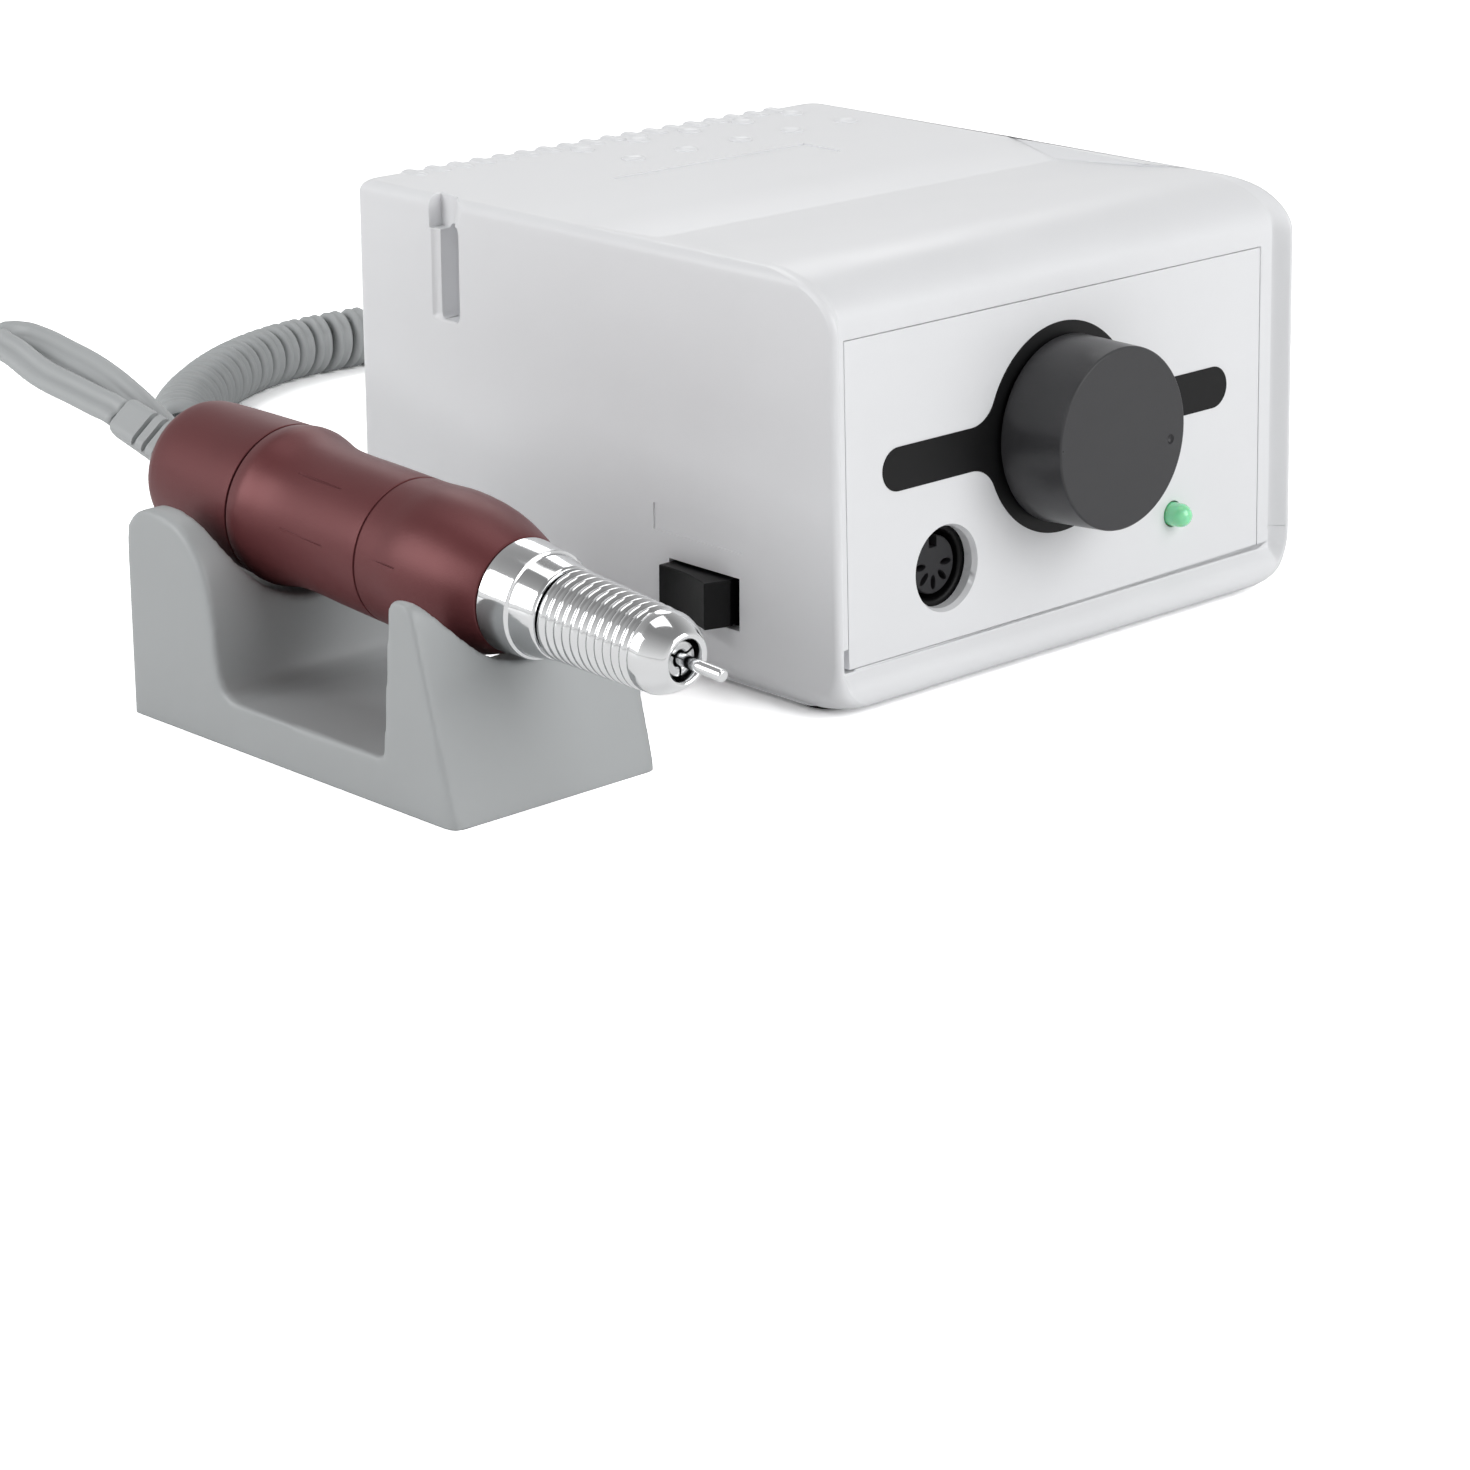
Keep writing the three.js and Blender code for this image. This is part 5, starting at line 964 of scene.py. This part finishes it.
disc_radius, bar_half, bar_reach, fillet = 21.6, 4.4, 51.2, 7.0
fillet_y = bar_half + fillet
fillet_x = math.sqrt((disc_radius + fillet) ** 2 - fillet_y ** 2)
touch = math.degrees(math.atan2(fillet_y, fillet_x))
quarter = [*arc((bar_reach - bar_half, 0), bar_half, 0, 90, 10), *arc((fillet_x, fillet_y), fillet, 270, 180 + touch, 10),
           *arc((0, 0), disc_radius, touch, 90, 24)]
half = quarter + [(-x, y) for x, y in reversed(quarter[:-1])]
outline = half + [(x, -y) for x, y in reversed(half[1:-1])]
legend = prism("legend", outline, -0.3, 0.12, Matrix.Identity(4))
carve(legend, rod("bush_hole", 3.8, -2, 2))
soften(legend, 0.12, 2, 40)
settle(legend, panel_axes @ Matrix.Translation(Vector((66.8, 47.3, 0)) * mm))
anodised = plastic("black_anodised", "#141415", 0.4, 0.4, 0.1, 0.04, 0.0, 0.18)
dress(legend, anodised, "body", ["legend_plate"])

# Control box: speed control
# A potentiometer behind the panel, its brass nut and its shaft, and on the shaft a plain dark
# grey knob, turned from ABS bar, with a fine bright edge and a drilled dimple as its mark.

knob_joint = joints["speed_turn"]
knob_axes = axes(Vector(knob_joint["pos_m"]), (1, 0, 0), Vector(knob_joint["axis"]).cross(Vector((1, 0, 0))),
                 knob_joint["axis"])
knob = turned("knob", [
    (3.3, 6.9), (9, 6.9), (9, 0.9), (18.6, 0.9), (19.05, 1.15), (19.1, 1.5), (18.52, 15.9), (18.46, 16.15),
    (18.25, 16.36), (18, 16.4), (0, 16.4), (0, 13.1), (3.3, 13.1),
], 160)
bpy.ops.object.select_all(action="DESELECT")
bpy.ops.mesh.primitive_uv_sphere_add(segments=24, ring_count=12, radius=1.1 * mm,
                                     location=(14.2 * mm, -2.6 * mm, 16.8 * mm))
carve(knob, bpy.context.object)
soften(knob, 0.1, 2, 30)
settle(knob, knob_axes)
knob_grey = plastic("dark_grey_abs", "#3C3C3E", 0.32, 0.5, 0.2, 0.02, 0.0, 0.3)
dress(knob, knob_grey, "speed_control", ["speed_knob"])
brass = metal("plain_brass", "#C9A35A", 0.28, 0.6, 0.2)
for name, material in (("speed_pot", ground_steel), ("pot_shaft", ground_steel), ("pot_nut", brass)):
    frame["nodes"][name].data.materials.clear()
    frame["nodes"][name].data.materials.append(material)

# Control box: socket for the handpiece's plug
# A five-pin round socket: a black moulded shell behind the panel, and an insert with five
# lens-shaped contact slots on a 7 mm circle and a key notch at the top.

black_abs = plastic("black_abs", "#0C0C0D", 0.4, 0.4, 0.25, 0.05, 0.0, 0.16)
black_insert = plastic("black_phenolic", "#2E2E30", 0.5, 0.4, 0.2, 0.05, 0.0, 0.2)
socket_axes = panel_axes @ Matrix.Translation(Vector((33.3, 24.8, 0)) * mm)
socket_shell = turned("socket_shell", [
    (7, -15.5), (8.6, -15.5), (8.6, -5), (10.5, -5), (10.5, -3.5), (7.8, -3.5), (7.3, -3.7), (7, -4.2),
])
soften(socket_shell, 0.1, 1)
socket_insert = turned("socket_insert", [
    (0, -15.5), (6.7, -15.5), (6.7, -12.5), (5.97, -12.5), (5.97, -4.2), (5.7, -3.9), (0, -3.9),
])
for k in range(5):
    contact = rod("contact_slot", 1, -11.6, -3, (0, 0), 32)
    contact.scale = (1.5, 0.68, 1)
    settle(contact, Matrix.Rotation(-k * math.pi / 4, 4, "Z") @ Matrix.Translation((3.6 * mm, 0, 0)))
    carve(socket_insert, contact)
carve(socket_insert, block("key", (-1.1, 3.5, -12.4), (1.1, 8, -3)))
soften(socket_insert, 0.08, 1)
dress(settle(socket_shell, socket_axes), black_abs, "body", ["din_socket_shell"])
dress(settle(socket_insert, socket_axes), black_insert, "body", ["din_socket_insert"])

# Control box: lamp
# A 5 mm green light-emitting diode in clear tinted epoxy, pushed through the panel from behind
# into a black holder.

lamp_axes = panel_axes @ Matrix.Translation(Vector((101.2, 22.6, 0)) * mm)
led = turned("led", [(0, -4.5), (2.95, -4.5), (2.95, -3.5), (2.5, -3.5), (2.5, 2),
                     *arc((0, 2), 2.5, 9, 81, 8), (0, 4.5)], 64)
soften(led, 0.05, 1)
settle(led, lamp_axes)
epoxy = plastic("green_epoxy", "#90EFB6", 0.12, 1, 0.0, 0.03, 0.6)
epoxy.node_tree.nodes["Principled BSDF"].inputs["Subsurface Weight"].default_value = 0.4
epoxy.node_tree.nodes["Principled BSDF"].inputs["Subsurface Scale"].default_value = 2 * mm
dress(led, epoxy, "body", ["led_lens"])
frame["nodes"]["led_holder"].data.materials.clear()
frame["nodes"]["led_holder"].data.materials.append(black_abs)

# Control box: power switch
# A black rocker with a shallow waist between two ridges, in a black body that snaps in from
# inside the left wall.

rocker = prism("rocker", [
    (-5, -3), (5, -3), (9.09, 5.07), (8.68, 7.54), *((8.2 * math.cos(math.pi * k / 12),
    9.7 + math.cos(math.pi * k / 12) ** 2) for k in range(13)), (-8.68, 7.54), (-9.09, 5.07),
], -4.8, 4.8, face_axes)
carve(rocker, settle(rod("trunnion", 1.5, -6.1, 6.1), Matrix.Rotation(math.pi / 2, 4, "X")), "UNION")
soften(rocker, 0.35, 3, 30)
settle(rocker, box_axes @ side_axes_switch @ Matrix.Translation((0, 0, -6 * mm)) @ Matrix.Rotation(math.radians(-9.5), 4, "Y"))
dress(rocker, black_abs, "power_switch", ["power_rocker"])
frame["nodes"]["switch_body"].data.materials.clear()
frame["nodes"]["switch_body"].data.materials.append(black_abs)

# Control box: base, feet and screws
# A flat plate of the same ABS closes the box below, held by four steel screws; four black
# rubber feet are pushed into it.

rubber = plastic("black_rubber", "#151516", 0.75, 0.5, 0.4)
foot = turned("foot", [(0, 0), (5.5, 0), (5.9, 0.2), (6, 0.6), (6, 1.1), (2, 1.1), (2, 5.4), (0, 5.4)], 64)
soften(foot, 0.1, 2)
for k, (x, y) in enumerate(((11, 11), (box_width - 11, 11), (11, box_depth - 11), (box_width - 11, box_depth - 11))):
    copy = foot.copy()
    copy.data = foot.data.copy()
    copy.name = f"rubber_foot_{k + 1}"
    bpy.context.scene.collection.objects.link(copy)
    settle(copy, box_axes @ Matrix.Translation(Vector((x, y, 0)) * mm))
    dress(copy, rubber, "body", [f"foot_{k + 1}"])
bpy.data.objects.remove(foot)

screw = turned("screw", [(0, 1.4), (2.8, 1.4), (3, 1.6), (3, 2.7), (1.5, 2.7), (1.5, 13.7), (0, 13.7)], 48)
for turn in (0, math.pi / 2):
    carve(screw, settle(block("cross", (-1.7, -0.3, 1), (1.7, 0.3, 2.4)), Matrix.Rotation(turn, 4, "Z")))
soften(screw, 0.05, 1)
for k, (x, y) in enumerate(((9, 18), (box_width - 9, 18), (9, box_depth - 19.5), (box_width - 9, box_depth - 19.5))):
    copy = screw.copy()
    copy.data = screw.data.copy()
    copy.name = f"plate_screw_{k + 1}"
    bpy.context.scene.collection.objects.link(copy)
    settle(copy, box_axes @ Matrix.Translation(Vector((x, y, 0)) * mm))
    dress(copy, ground_steel, "body", [f"base_screw_{k + 1}"])
bpy.data.objects.remove(screw)
frame["nodes"]["base_plate"].data.materials.clear()
frame["nodes"]["base_plate"].data.materials.append(housing)

# Control box: mains inlet and fuse
# A three-pin appliance inlet and a fuse holder, both of black thermoplastic, clipped into the
# rear wall. The mains lead that goes into the inlet is a separate one.

inlet_axes = box_axes @ rear_axes @ Matrix.Translation(Vector((-106, 26, 0)) * mm)
inlet = plate("inlet_housing", (-15.5, -12), (15.5, 12), 0.3, 2.3, 3)
carve(inlet, block("inlet_back", (-13.5, -9.9, -13.7), (13.5, 9.9, 1)), "UNION")
carve(inlet, plate("inlet_cavity", (-11.2, -7.6), (11.2, 7.6), -10.7, 5, 3))
for x, y in ((-6.5, -2.2), (0, 2.2), (6.5, -2.2)):
    carve(inlet, block("pin_hole", (x - 1.3, y - 2.3, -20), (x + 1.3, y + 2.3, 0)))
soften(inlet, 0.3, 2)
settle(inlet, inlet_axes)
dress(inlet, black_abs, "body", ["mains_inlet"])
for name in ("inlet_pin_line", "inlet_pin_earth", "inlet_pin_neutral"):
    frame["nodes"][name].data.materials.clear()
    frame["nodes"][name].data.materials.append(brass)
fuse_axes = box_axes @ rear_axes @ Matrix.Translation(Vector((-50, 26, 0)) * mm)
holder = turned("fuse_body", [
    (0, -31.7), (6.4, -31.7), (6.4, 0.3), (8, 0.3), (8, 1.9), (7.6, 2.3), (4.6, 2.3), (4.6, -29.7), (0, -29.7),
])
soften(holder, 0.1, 2)
dress(settle(holder, fuse_axes), black_abs, "body", ["fuse_holder"])
cap = turned("fuse_carrier_cap", [
    (0, -4.4), (4.2, -4.4), (4.2, 2.6), (6, 2.6), (6, 7.7), (5.5, 8.3), (0, 8.3),
])
carve(cap, block("coin_slot", (-7, -0.6, 6.8), (7, 0.6, 10)))
soften(cap, 0.15, 2)
dress(settle(cap, fuse_axes), black_abs, "fuse_carrier", ["fuse_cap"])

# Control box: inside
# A laminated mains transformer, and a circuit board with a rectifier, a smoothing capacitor and
# a transistor on an aluminium heat sink.

glass = plastic("clear_glass", "#D8E0DE", 0.05, 1, 0.0)
board_green = plastic("board_laminate", "#2C6A44", 0.5, 1, 0.1)
aluminium = metal("plain_aluminium", "#B9BBBD", 0.35, 0.8, 0.2)
for name, material in (("fuse", glass), ("transformer_core", laminations), ("transformer_winding", copper),
                       ("circuit_board", board_green), ("heat_sink", aluminium), ("power_transistor", black_abs),
                       ("bridge_rectifier", black_abs), ("filter_capacitor", black_abs)):
    frame["nodes"][name].data.materials.clear()
    frame["nodes"][name].data.materials.append(material)
